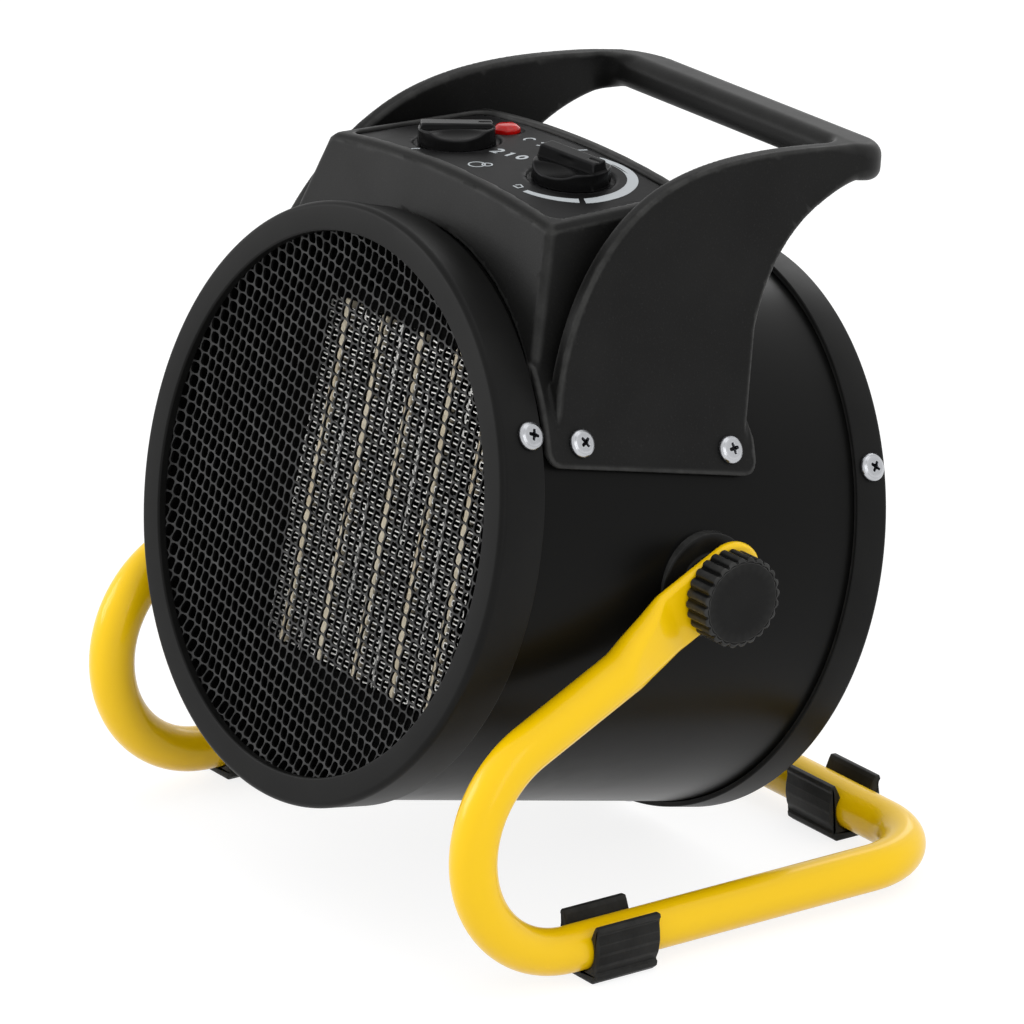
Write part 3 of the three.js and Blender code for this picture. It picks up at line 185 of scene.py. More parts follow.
def rounded_path(corners, radii, steps=6):
    """Open path through corners, each turned by an arc of its radius.

    The arc touches both legs at radius / tan(half the corner's angle) from the corner.
    """
    corners = np.asarray(corners, float)
    path = [corners[:1]]
    for before, here, after, radius in zip(corners, corners[1:], corners[2:], radii):
        a, b = before - here, after - here
        length_a, length_b = np.linalg.norm(a), np.linalg.norm(b)
        a, b = a / length_a, b / length_b
        half = math.acos(np.clip(a @ b, -1, 1)) / 2
        if radius <= 0 or half > math.pi / 2 - 1e-3:
            path.append(here[None])
            continue
        leg = min(radius / math.tan(half), length_a * 0.49, length_b * 0.49)
        radius = leg * math.tan(half)
        middle = (a + b) / np.linalg.norm(a + b)
        centre = here + middle * radius / math.sin(half)
        start, end = here + a * leg - centre, here + b * leg - centre
        turn = math.acos(np.clip(start @ end / radius ** 2, -1, 1))
        share = np.linspace(0, 1, steps + 1)[:, None]
        arc = (np.sin((1 - share) * turn) * start + np.sin(share * turn) * end) / math.sin(turn)
        path.append(centre + arc)
    path.append(corners[-1:])
    return np.concatenate(path)


def closed_path(corners, radii, steps=6):
    """The same rounding for a closed outline. The last point isn't the first one again."""
    corners = np.asarray(corners, float)
    start = (corners[0] + corners[-1]) / 2
    ring = np.concatenate([start[None], corners, start[None]])
    return rounded_path(ring, radii, steps)[:-1]


def net(rows, columns, wrap_rows=False, wrap_columns=False):
    """Quads of a grid of points, row after row, wrapped where asked."""
    index = np.arange(rows * columns).reshape(rows, columns)
    if wrap_rows:
        index = np.concatenate([index, index[:1]])
    if wrap_columns:
        index = np.concatenate([index, index[:, :1]], axis=1)
    corners = index[:-1, :-1], index[:-1, 1:], index[1:, 1:], index[1:, :-1]
    return np.stack([c.ravel() for c in corners], axis=1)


def full_turn(steps):
    """Angles evenly spaced over a whole turn, the end left out."""
    return np.linspace(0, 2 * math.pi, steps, endpoint=False)


def turned(profile, sides):
    """A profile of (radius, place) turned about an axis: (r cos t, place, r sin t).

    A profile whose ends meet gives a closed ring. Otherwise both ends lie on the axis.
    """
    profile = np.asarray(profile, float)
    ring = np.allclose(profile[0], profile[-1])
    if ring:
        profile = profile[:-1]
    t = full_turn(sides)
    radius, place = profile[:, 0, None], profile[:, 1, None]
    points = np.stack([radius * np.cos(t), place + 0 * t, radius * np.sin(t)], axis=-1)
    return points.reshape(-1, 3), net(len(profile), sides, ring, True)


def along_x(points):
    """Turns a shape about y into one about x, outer face towards +x."""
    return np.asarray(points)[:, [1, 0, 2]] * (1, -1, 1)


def along_z(points):
    """Turns a shape about y into one about z."""
    return np.asarray(points)[:, [0, 2, 1]] * (1, -1, 1)


def wear_of(mesh):
    """Roundness of each corner of the skin, per millimetre, stored for edge rubbing, painted
    highlight and shade.

    It is how far a corner stands above the middle of its neighbours, along its normal,
    divided by a quarter of the squared mean edge length, then evened out twice.
    """
    count = len(mesh.vertices)
    co, normal = rows_of(mesh.vertices, "co") / MM, rows_of(mesh.vertices, "normal")
    a, b = rows_of(mesh.edges, "vertices", 2, np.int32).T
    total, near, length = np.zeros((count, 3)), np.zeros(count), np.zeros(count)
    span = np.linalg.norm(co[a] - co[b], axis=1)
    for one, other in ((a, b), (b, a)):
        np.add.at(total, one, co[other])
        np.add.at(near, one, 1)
        np.add.at(length, one, span)
    near = np.maximum(near, 1)
    length = np.maximum(length / near, 0.05)
    value = 4 * ((co - total / near[:, None]) * normal).sum(1) / length ** 2
    for _ in range(2):
        spread = np.zeros(count)
        np.add.at(spread, a, value[b])
        np.add.at(spread, b, value[a])
        value = 0.5 * value + 0.5 * spread / near
    return value


def piece(name, points, faces, body, slot, replaces=(), finish=None, sharp=40, edge=None,
          normals=None, weld=True, place=None):
    """Puts points and faces into one mesh object that rides on a body.

    faces is a list of arrays, each of one kind of polygon. The finish is the slot's own unless
    another one is named. edge is the roundness at each point, or a function of the points
    before place moves them and of the roundness that is worked out here.
    """
    old = bpy.data.objects.get(name)
    if old is not None:
        bpy.data.objects.remove(old)
    faces = [np.asarray(f, np.int32) for f in faces if len(f)]
    used, corners = np.unique(np.concatenate([f.ravel() for f in faces]), return_inverse=True)
    points = np.asarray(points)[used]
    if normals is not None:
        normals = normals[used]
    if edge is not None and not callable(edge):
        edge = edge[used]
    counts = np.concatenate([np.full(len(f), f.shape[1], np.int32) for f in faces])
    mesh = bpy.data.meshes.new(name)
    mesh.vertices.add(len(points))
    mesh.vertices.foreach_set("co", (points * MM).astype(np.float32).ravel())
    mesh.loops.add(len(corners))
    mesh.loops.foreach_set("vertex_index", corners)
    mesh.polygons.add(len(counts))
    mesh.polygons.foreach_set("loop_start", np.concatenate([[0], np.cumsum(counts)[:-1]]))
    mesh.update(calc_edges=True)
    if weld:
        work = bmesh.new()
        work.from_mesh(mesh)
        bmesh.ops.remove_doubles(work, verts=work.verts, dist=1e-7)
        bmesh.ops.dissolve_degenerate(work, edges=work.edges, dist=1e-8)
        bmesh.ops.recalc_face_normals(work, faces=work.faces)
        work.to_mesh(mesh)
        work.free()
    mesh.shade_smooth()
    if normals is None:
        mesh.set_sharp_from_angle(angle=math.radians(sharp))
    else:
        mesh.normals_split_custom_set_from_vertices(normals.tolist())
    values = wear_of(mesh) if edge is None or callable(edge) else edge
    if place or callable(edge):
        local = rows_of(mesh.vertices, "co") / MM
        if callable(edge):
            values = edge(local, values)
        if place:
            mesh.vertices.foreach_set("co", (place(local) * MM).astype(np.float32).ravel())
            mesh.update()
    mesh.attributes.new("roundness", "FLOAT", "POINT").data.foreach_set(
        "value", np.asarray(values, np.float32))
    made = bpy.data.objects.new(name, mesh)
    bpy.context.scene.collection.objects.link(made)
    mesh.materials.append(finish_of(finish or slot))
    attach(made, body)
    if replaces:
        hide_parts(*replaces)
    return made


def joined(*shapes):
    """Several (points, faces) shapes as one."""
    points, faces, start = [], [], 0
    for shape_points, shape_faces in shapes:
        points.append(np.asarray(shape_points, float))
        faces.append(np.asarray(shape_faces) + start)
        start += len(shape_points)
    widths = {f.shape[1] for f in faces}
    return np.concatenate(points), [
        np.concatenate([f for f in faces if f.shape[1] == w]) for w in sorted(widths)]


def lofted(outline, lifts, shrink, place):
    """A closed outline of (a, b) carried through lifts, pulled in by shrink at each, and capped.

    The pull goes along the outline's own inward normals. place(a, b, lift) gives the points.
    """
    outline = np.asarray(outline, float)
    ahead, behind = np.roll(outline, -1, axis=0), np.roll(outline, 1, axis=0)
    run = ahead - behind
    inward = np.stack([-run[:, 1], run[:, 0]], axis=1)
    inward /= np.maximum(np.linalg.norm(inward, axis=1, keepdims=True), 1e-9)
    area = 0.5 * np.sum(outline[:, 0] * ahead[:, 1] - outline[:, 1] * ahead[:, 0])
    if area < 0:
        inward = -inward
    rings = outline[None] + inward[None] * np.asarray(shrink, float)[:, None, None]
    lift = np.broadcast_to(np.asarray(lifts, float)[:, None], rings.shape[:2])
    points = place(rings[..., 0], rings[..., 1], lift).reshape(-1, 3)
    rows, columns = rings.shape[:2]
    caps = np.array([np.arange(columns), (rows - 1) * columns + np.arange(columns)])
    return points, [net(rows, columns, False, True), caps]


# Distance fields ---------------------------------------------------------------------------

def round_join(a, b, radius):
    """Union of two distance fields with a concave arc of that radius between them."""
    corner = np.hypot(np.maximum(radius - a, 0), np.maximum(radius - b, 0))
    return np.maximum(radius, np.minimum(a, b)) - corner


def round_meet(a, b, radius):
    """Common part of two distance fields with an edge rounded to that radius."""
    corner = np.hypot(np.maximum(radius + a, 0), np.maximum(radius + b, 0))
    return np.minimum(-radius, np.maximum(a, b)) + corner


def flat_meet(a, b, size):
    """Common part of two distance fields with the edge bevelled by that size."""
    return np.maximum(np.maximum(a, b), (a + b + size) * math.sqrt(0.5))


def outline_distance(outline, a, b):
    """Distance from the points (a, b) to a closed outline, negative inside it."""
    shape = np.broadcast(a, b).shape
    points = np.stack([np.broadcast_to(a, shape).ravel(), np.broadcast_to(b, shape).ravel()], 1)
    start = np.asarray(outline, float)
    run = np.roll(start, -1, axis=0) - start
    nearest = np.full(len(points), np.inf)
    inside = np.zeros(len(points), bool)
    for from_point, leg in zip(start, run):
        rel = points - from_point
        share = np.clip(rel @ leg / max(leg @ leg, 1e-12), 0, 1)
        nearest = np.minimum(nearest, ((rel - share[:, None] * leg) ** 2).sum(1))
        crossing = (rel[:, 1] < 0) != (rel[:, 1] - leg[1] < 0)
        with np.errstate(divide="ignore", invalid="ignore"):
            beside = rel[:, 0] < leg[0] * rel[:, 1] / leg[1]
        inside ^= crossing & beside
    return (np.sqrt(nearest) * np.where(inside, -1, 1)).reshape(shape)


def skin_of(field, low, pitch, adaptivity=0.0):
    """The surface where a distance field is zero: points, faces, normals and roundness.

    Normals are the field's gradient, and roundness is half the divergence of that gradient.
    """
    reach = 3 * pitch
    values = np.clip(field, -reach, reach).astype(np.float32)
    grid = openvdb.FloatGrid(reach)
    grid.copyFromArray(values)
    points, tris, quads = grid.convertToPolygons(0.0, adaptivity)
    slope = np.gradient(field, pitch)
    size = np.maximum(np.sqrt(sum(s * s for s in slope)), 1e-6)
    slope = [s / size for s in slope]
    bend = sum(np.gradient(s, pitch, axis=i) for i, s in enumerate(slope)) / 2

    def sampled(volume):
        base = np.clip(np.floor(points).astype(int), 0, np.array(volume.shape) - 2)
        part = points - base
        total = 0
        for corner in np.ndindex(2, 2, 2):
            share = np.prod(np.where(corner, part, 1 - part), axis=1)
            total = total + share * volume[tuple((base + corner).T)]
        return total

    normals = np.stack([sampled(s) for s in slope], axis=1)
    faces = [f[:, ::-1] for f in (tris, quads) if len(f)]
    first = faces[0][:200]
    a, b, c = (points[first[:, i]] for i in range(3))
    if np.sum(np.cross(b - a, c - a) * normals[first[:, 0]]) < 0:
        faces = [f[:, ::-1] for f in faces]
    return points * pitch + low, faces, normals, sampled(bend)


def lattice(low, high, pitch):
    """Axes of a regular lattice, shaped so that they combine into volumes."""
    axes = [np.arange(a, b + pitch, pitch, dtype=np.float32) for a, b in zip(low, high)]
    return axes[0][:, None, None], axes[1][None, :, None], axes[2][None, None, :]


# Shader building ---------------------------------------------------------------------------

def add_node(tree, kind, sockets=None, **settings):
    """A node with its settings, and its inputs set to values or linked to outputs."""
    made = tree.nodes.new(kind)
    for key, value in settings.items():
        setattr(made, key, value)
    for key, value in (sockets or {}).items():
        if isinstance(value, bpy.types.NodeSocket):
            tree.links.new(value, made.inputs[key])
        else:
            made.inputs[key].default_value = value
    return made


def result_of(tree, operation, a, b=0.0):
    return add_node(tree, "ShaderNodeMath", {0: a, 1: b}, operation=operation).outputs[0]


def product(tree, a, b):
    return result_of(tree, "MULTIPLY", a, b)


def between(tree, share, a, b):
    """Colour mixed from a to b by a share."""
    return add_node(tree, "ShaderNodeMix", {0: share, 6: a, 7: b}, data_type="RGBA").outputs[2]


def remap(tree, value, low, high, out_low, out_high):
    sockets = {0: value, 1: low, 2: high, 3: out_low, 4: out_high}
    return add_node(tree, "ShaderNodeMapRange", sockets, clamp=True).outputs[0]


def noise(tree, vector, scale, detail, **more):
    sockets = {"Vector": vector, "Scale": scale, "Detail": detail, **more}
    return add_node(tree, "ShaderNodeTexNoise", sockets).outputs[0]


def shared_effect(name, numbers, outputs, build):
    """A node group made once: build(tree, given) returns the value of each output.

    Its inputs are a vector and the numbers, each with its default.
    """
    tree = bpy.data.node_groups.get(name)
    if tree is None:
        tree = bpy.data.node_groups.new(name, "ShaderNodeTree")
        tree.interface.new_socket("Vector", in_out="INPUT", socket_type="NodeSocketVector")
        for label, value in numbers.items():
            socket = tree.interface.new_socket(label, in_out="INPUT",
                                               socket_type="NodeSocketFloat")
            socket.default_value = value
        for label in outputs:
            tree.interface.new_socket(label, in_out="OUTPUT", socket_type="NodeSocketFloat")
        given = tree.nodes.new("NodeGroupInput")
        end = tree.nodes.new("NodeGroupOutput")
        for label, value in build(tree, given.outputs).items():
            tree.links.new(value, end.inputs[label])
    return tree


def grain_effect():
    """Fine moulded grain: two noises and a cell pattern, as height, pale specks and clouds."""
    def build(tree, given):
        fine = noise(tree, given["Vector"], given["Scale"], 2.0, Roughness=0.6)
        cells = add_node(tree, "ShaderNodeTexVoronoi", {
            "Vector": given["Vector"], "Scale": given["Scale"]}, feature="SMOOTH_F1")
        cloud = noise(tree, given["Vector"], 38.0, 3.0)
        height = result_of(tree, "ADD", product(tree, fine, 0.7),
                           product(tree, cells.outputs[0], 0.6))
        return {"Height": height,
                "Specks": remap(tree, fine, 0.58, 0.78, 0.0, 1.0),
                "Clouds": remap(tree, cloud, 0.35, 0.68, 0.0, 1.0)}
    return shared_effect("Moulded grain", {"Scale": 1500.0}, ("Height", "Specks", "Clouds"),
                         build)


def wear_highlight_shade_effect():
    """Rubbing and painted highlight on rounded edges, broken up by noise, and painted shade in
    hollows.
    """
    def build(tree, given):
        uneven = noise(tree, given["Vector"], given["Breakup"], 4.0, Roughness=0.65)
        edge = remap(tree, given["Roundness"], 0.1, 0.4, 0.0, 1.0)
        rubbing_and_light = product(tree, edge, remap(tree, uneven, 0.3, 0.72, 0.35, 1.0))
        # The first mask lightens edges, partly as rubbing and partly as painted highlight; the
        # second paints shade where the roundness is low.
        return {"Mask": product(tree, rubbing_and_light, given["Amount"]),
                "Hollow": remap(tree, given["Roundness"], -0.95, -0.3, 1.0, 0.0)}
    return shared_effect("Edge wear", {"Roundness": 0.0, "Amount": 0.5, "Breakup": 120.0},
                         ("Mask", "Hollow"), build)


def smudge_effect():
    """Faint handling marks and dust: large soft noise times fine dots."""
    def build(tree, given):
        broad = noise(tree, given["Vector"], given["Scale"], 4.0, Distortion=0.6)
        fine = noise(tree, given["Vector"], product(tree, given["Scale"], 14.0), 2.0)
        soft = remap(tree, broad, 0.42, 0.7, 0.0, 1.0)
        dots = remap(tree, fine, 0.4, 0.75, 0.0, 1.0)
        return {"Marks": product(tree, soft, result_of(tree, "MULTIPLY_ADD", dots, 0.5)),
                "Broad": soft}
    return shared_effect("Handling marks", {"Scale": 18.0}, ("Marks", "Broad"), build)


def peel_effect():
    """Orange peel of sprayed paint: soft rounded cells as height."""
    def build(tree, given):
        return {"Height": noise(tree, given["Vector"], given["Scale"], 1.5, Roughness=0.4)}
    return shared_effect("Orange peel", {"Scale": 450.0}, ("Height",), build)


def streak_effect():
    """Brushed metal: noise stretched along one direction."""
    def build(tree, given):
        stretched = add_node(tree, "ShaderNodeMapping", {
            "Vector": given["Vector"], "Scale": (1.0, 12.0, 12.0)})
        lines = noise(tree, stretched.outputs[0], given["Scale"], 4.0)
        return {"Streaks": remap(tree, lines, 0.3, 0.7, 0.0, 1.0)}
    return shared_effect("Brushed streaks", {"Scale": 120.0}, ("Streaks",), build)


def placed(tree, group, **sockets):
    """A shared effect in a material."""
    return add_node(tree, "ShaderNodeGroup", sockets, node_tree=group)


def blank_material(name):
    """An empty material with its shader, its object coordinates and its roundness."""
    old = bpy.data.materials.get(name)
    if old is not None:
        bpy.data.materials.remove(old)
    made = bpy.data.materials.new(name)
    made.use_nodes = True
    tree = made.node_tree
    shader = tree.nodes["Principled BSDF"]
    place = add_node(tree, "ShaderNodeTexCoord").outputs["Object"]
    roundness = add_node(tree, "ShaderNodeAttribute", attribute_name="roundness").outputs["Fac"]
    return made, tree, shader, place, roundness


def bumped(tree, shader, strength, distance, height):
    """Feeds a height into the shader's normal."""
    bump = add_node(tree, "ShaderNodeBump", {
        "Strength": strength, "Distance": distance, "Height": height})
    feed(tree, bump.outputs[0], shader.inputs["Normal"])


def lit(colour, factor):
    return (*(min(1.0, c * factor) for c in colour[:3]), 1.0)


def feed(tree, value, socket):
    tree.links.new(value, socket)


def moulded(name, colour, roughness, grain=1500.0, height=0.00006, specks=0.5, wear=0.4,
            specular=0.35):
    """Moulded plastic or rubber: surface grain, pale specks, clouds, rubbing and painted edge
    highlight.
    """
    made, tree, shader, place, roundness = blank_material(name)
    grained = placed(tree, grain_effect(), Vector=place, Scale=grain)
    rubbing_and_light = placed(tree, wear_highlight_shade_effect(), Vector=place, Roundness=roundness, Amount=wear,
                  Breakup=140.0)
    marks = placed(tree, smudge_effect(), Vector=place, Scale=16.0)
    clouded = between(tree, grained.outputs["Clouds"], lit(colour, 0.86), lit(colour, 1.16))
    speckled = between(tree, product(tree, grained.outputs["Specks"], specks),
                       clouded, lit(colour, 3.2))
    # Edges made nine times lighter: partly rubbing, partly a painted highlight.
    edge_rubbing_and_highlight = between(tree, rubbing_and_light.outputs["Mask"], speckled, lit(colour, 9.0))
    feed(tree, edge_rubbing_and_highlight, shader.inputs["Base Color"])
    rough = remap(tree, marks.outputs["Marks"], 0.0, 1.0, roughness, roughness * 1.16)
    rough = result_of(tree, "SUBTRACT", rough,
                   product(tree, rubbing_and_light.outputs["Mask"], 0.14))
    feed(tree, rough, shader.inputs["Roughness"])
    shader.inputs["Specular IOR Level"].default_value = specular
    bumped(tree, shader, 0.6, height, grained.outputs["Height"])
    return made


def painted(name, colour, roughness, peel=420.0, height=0.00003, coat=0.4, coat_rough=0.12,
            wear=0.3, specular=0.5, deep=0.9, marks_share=0.4, rubbed=1.5):
    """Sprayed or powder paint: orange peel, a clear coat, faint marks, thin paint and painted
    highlight on edges.
    """
    made, tree, shader, place, roundness = blank_material(name)
    peeled = placed(tree, peel_effect(), Vector=place, Scale=peel)
    rubbing_and_light = placed(tree, wear_highlight_shade_effect(), Vector=place, Roundness=roundness, Amount=wear,
                  Breakup=90.0)
    marks = placed(tree, smudge_effect(), Vector=place, Scale=11.0)
    base = between(tree, marks.outputs["Broad"], lit(colour, deep), lit(colour, 1.0))
    # Edges lightened by a factor: thin paint, and on the mesh a painted highlight.
    edge_rubbing_and_highlight = between(tree, rubbing_and_light.outputs["Mask"], base, lit(colour, rubbed))
    # Painted shade: near black where the roundness is low, as along the drum's seam.
    hollow_shaded = between(tree, rubbing_and_light.outputs["Hollow"], edge_rubbing_and_highlight, lit(colour, 0.1))
    feed(tree, hollow_shaded, shader.inputs["Base Color"])
    rough = remap(tree, marks.outputs["Marks"], 0.0, 1.0, roughness,
                  roughness * (1 + marks_share))
    feed(tree, rough, shader.inputs["Roughness"])
    shader.inputs["Specular IOR Level"].default_value = specular
    shader.inputs["Coat Weight"].default_value = coat
    shader.inputs["Coat Roughness"].default_value = coat_rough
    bumped(tree, shader, 0.5, height, peeled.outputs["Height"])
    return made


def bare_metal(name, colour, roughness, streaks=140.0, height=0.00002, dull=0.7):
    """Plated or plain metal: brushed streaks in colour, roughness and height, dull patches."""
    made, tree, shader, place, roundness = blank_material(name)
    brushed = placed(tree, streak_effect(), Vector=place, Scale=streaks)
    marks = placed(tree, smudge_effect(), Vector=place, Scale=60.0)
    rubbing_and_light = placed(tree, wear_highlight_shade_effect(), Vector=place, Roundness=roundness, Amount=0.6,
                  Breakup=200.0)
    toned = between(tree, marks.outputs["Marks"], lit(colour, 1.0), lit(colour, dull))
    streaked = between(tree, product(tree, brushed.outputs[0], 0.25), toned,
                       lit(colour, 0.8))
    # Edges lightened: partly rubbing, partly painted highlight.
    edge_rubbing_and_highlight = between(tree, rubbing_and_light.outputs["Mask"], streaked, lit(colour, 1.25))
    # Painted shade in recesses, such as a screw's cross and the gaps between fin legs.
    hollow_shaded = between(tree, rubbing_and_light.outputs["Hollow"], edge_rubbing_and_highlight, (0.012, 0.013, 0.014, 1.0))
    feed(tree, hollow_shaded, shader.inputs["Base Color"])
    rough = remap(tree, brushed.outputs[0], 0.0, 1.0, roughness * 0.85, roughness * 1.25)
    feed(tree, rough, shader.inputs["Roughness"])
    shader.inputs["Metallic"].default_value = 1.0
    bumped(tree, shader, 0.4, height, brushed.outputs[0])
    return made


def fired_clay(name, colour):
    """Fired ceramic: matt, with pores and slightly browned patches."""
    made, tree, shader, place, roundness = blank_material(name)
    grained = placed(tree, grain_effect(), Vector=place, Scale=900.0)
    marks = placed(tree, smudge_effect(), Vector=place, Scale=70.0)
    browned = between(tree, marks.outputs["Marks"], lit(colour, 1.0),
                      (colour[0] * 0.72, colour[1] * 0.62, colour[2] * 0.48, 1.0))
    pored = between(tree, product(tree, grained.outputs["Specks"], 0.4), browned,
                    lit(colour, 0.7))
    feed(tree, pored, shader.inputs["Base Color"])
    feed(tree, remap(tree, grained.outputs["Clouds"], 0.0, 1.0, 0.5, 0.68),
         shader.inputs["Roughness"])
    bumped(tree, shader, 0.5, 0.00008, grained.outputs["Height"])
    return made


def glowing_lens(name, colour):
    """Moulded red lens: deep colour, clear gloss, and a little light of its own."""
    made, tree, shader, place, roundness = blank_material(name)
    cloud = placed(tree, smudge_effect(), Vector=place, Scale=220.0)
    toned = between(tree, cloud.outputs["Broad"], lit(colour, 0.7), lit(colour, 1.1))
    feed(tree, toned, shader.inputs["Base Color"])
    feed(tree, toned, shader.inputs["Emission Color"])
    shader.inputs["Emission Strength"].default_value = 0.08
    shader.inputs["Specular IOR Level"].default_value = 0.25
    feed(tree, remap(tree, cloud.outputs["Marks"], 0.0, 1.0, 0.08, 0.2),
         shader.inputs["Roughness"])
    shader.inputs["Coat Weight"].default_value = 0.2
    shader.inputs["Coat Roughness"].default_value = 0.04
    return made


def screen_ink(name, colour):
    """Printed ink: a pale film with pinholes and a slightly uneven edge of gloss."""
    made, tree, shader, place, roundness = blank_material(name)
    grained = placed(tree, grain_effect(), Vector=place, Scale=2600.0)
    inked = between(tree, product(tree, grained.outputs["Specks"], 0.5),
                    lit(colour, 1.0), lit(colour, 0.6))
    feed(tree, inked, shader.inputs["Base Color"])
    feed(tree, remap(tree, grained.outputs["Clouds"], 0.0, 1.0, 0.42, 0.6),
         shader.inputs["Roughness"])
    return made


# Each edge amount below sets how far rounded edges are lightened, partly as rubbing and partly as
# painted highlight.
FINISH_MAKERS = {
    "black_moulding": lambda n, c: moulded(
        n, c.moulding, 0.42, grain=1500.0, height=0.00004, specks=0.5, wear=0.6,
        specular=0.11),
    "bezel_moulding": lambda n, c: moulded(
        n, c.moulding, 0.4, grain=2200.0, height=0.00002, specks=0.2, wear=0.8,
        specular=0.09),
    "panel_moulding": lambda n, c: moulded(
        n, c.panel, 0.36, grain=2600.0, height=0.00002, specks=0.15, wear=0.3, specular=0.05),
    "knob_moulding": lambda n, c: moulded(
        n, c.panel, 0.2, grain=2600.0, height=0.00001, specks=0.1, wear=0.5, specular=0.05),
    "clamp_moulding": lambda n, c: moulded(
        n, c.moulding, 0.24, grain=1800.0, height=0.00001, specks=0.3, wear=0.75,
        specular=0.1),
    "rubber": lambda n, c: moulded(
        n, c.rubber, 0.5, grain=1100.0, height=0.00005, specks=0.35, wear=0.4, specular=0.1),
    "fan_plastic": lambda n, c: moulded(
        n, c.fan, 0.45, grain=1300.0, height=0.00003, specks=0.3, wear=0.3, specular=0.2),
    "black_drum_paint": lambda n, c: painted(
        n, c.drum, 0.3, peel=620.0, height=0.00001, coat=0.0, coat_rough=0.2, wear=0.2,
        specular=0.08, deep=0.85),
    "inner_paint": lambda n, c: painted(
        n, c.drum, 0.6, peel=620.0, height=0.00001, coat=0.0, coat_rough=0.2, wear=0.2,
        specular=0.02, deep=0.85),
    "yellow_paint": lambda n, c: painted(
        n, c.tube, 0.3, peel=300.0, height=0.00002, coat=0.28, coat_rough=0.06, wear=0.12,
        specular=0.2, deep=0.97, marks_share=0.3),
    # The large edge factor paints a highlight on the wires' fronts.
    "mesh_steel": lambda n, c: painted(
        n, c.mesh, 0.32, peel=900.0, height=0.00001, coat=0.0, coat_rough=0.2, wear=1.0,
        specular=0.04, deep=0.7, marks_share=0.5, rubbed=12.0),
    "zinc_steel": lambda n, c: bare_metal(n, c.zinc, 0.22, streaks=260.0),
    "aluminium_fins": lambda n, c: bare_metal(n, c.fins, 0.38, streaks=400.0),
    "ceramic": lambda n, c: fired_clay(n, c.ceramic),
    "red_lens": lambda n, c: glowing_lens(n, c.lens),
    "dial_marks": lambda n, c: screen_ink(n, c.marks),
}


def finish_of(name):
    """The named finish, made when it is first asked for."""
    label = f"{name}_finish"
    made = bpy.data.materials.get(label)
    return made or FINISH_MAKERS[name](label, bpy.context.scene.heater_colours)


# Shapes ------------------------------------------------------------------------------------

def bezel_profile(rounding):
    """Half section of the front bezel: lip, flat face, rounded shoulder and drafted side."""
    wall, face, lip, draft = COVER_INNER, FRONT_Y + 0.35, 3.2, 0.9
    corners = [
        (wall, SEAM_Y), (wall, face + lip), (MOUTH_RADIUS, face + lip),
        (MOUTH_RADIUS, face), (BEZEL_RADIUS, face), (BEZEL_RADIUS - draft, SEAM_Y),
        (wall, SEAM_Y)]
    return rounded_path(corners, [0.3, 0.3, 0.8, rounding, 0.5], 8)


def drum_profile():
    """Half section of the drum: a thin wall with both ends rolled by half its thickness."""
    inner, front, rear = DRUM_RADIUS - 1, float(DRUM[0][1]), float(DRUM[1][1])
    # Extra rings at the seam carry the painted shadow line under the bezel's edge.
    seam = [(DRUM_RADIUS, SEAM_Y + step) for step in (-1.0, 0.9, 1.3)]
    corners = [((inner + DRUM_RADIUS) / 2, front), (DRUM_RADIUS, front), *seam,
               (DRUM_RADIUS, rear), (inner, rear), (inner, front),
               ((inner + DRUM_RADIUS) / 2, front)]
    return rounded_path(corners, [0.45, 0, 0, 0, 0.45, 0.45, 0.45], 4)


def ring_profile():
    """Half section of the rear ring: a band with a rounded rear edge and an inward lip."""
    front, lip, thick = float(RING[0][1]), RING_RADIUS - 11, 1.5
    corners = [
        (COVER_INNER, front), (RING_RADIUS, front), (RING_RADIUS, REAR_Y), (lip, REAR_Y),
        (lip, REAR_Y - thick), (COVER_INNER, REAR_Y - thick), (COVER_INNER, front)]
    return rounded_path(corners, [0.6, 1.8, 0.5, 0.5, 0.4], 6)


def dished(points, radius, front):
    """Carries the flat front mesh to its place, dished forward near its rim."""
    r = np.hypot(points[:, 0], points[:, 2])
    depth = front + 2.4 - 1.9 * smooth_step(radius - 11, radius - 1, r)
    return points + np.stack([0 * r, depth, 0 * r], axis=1)


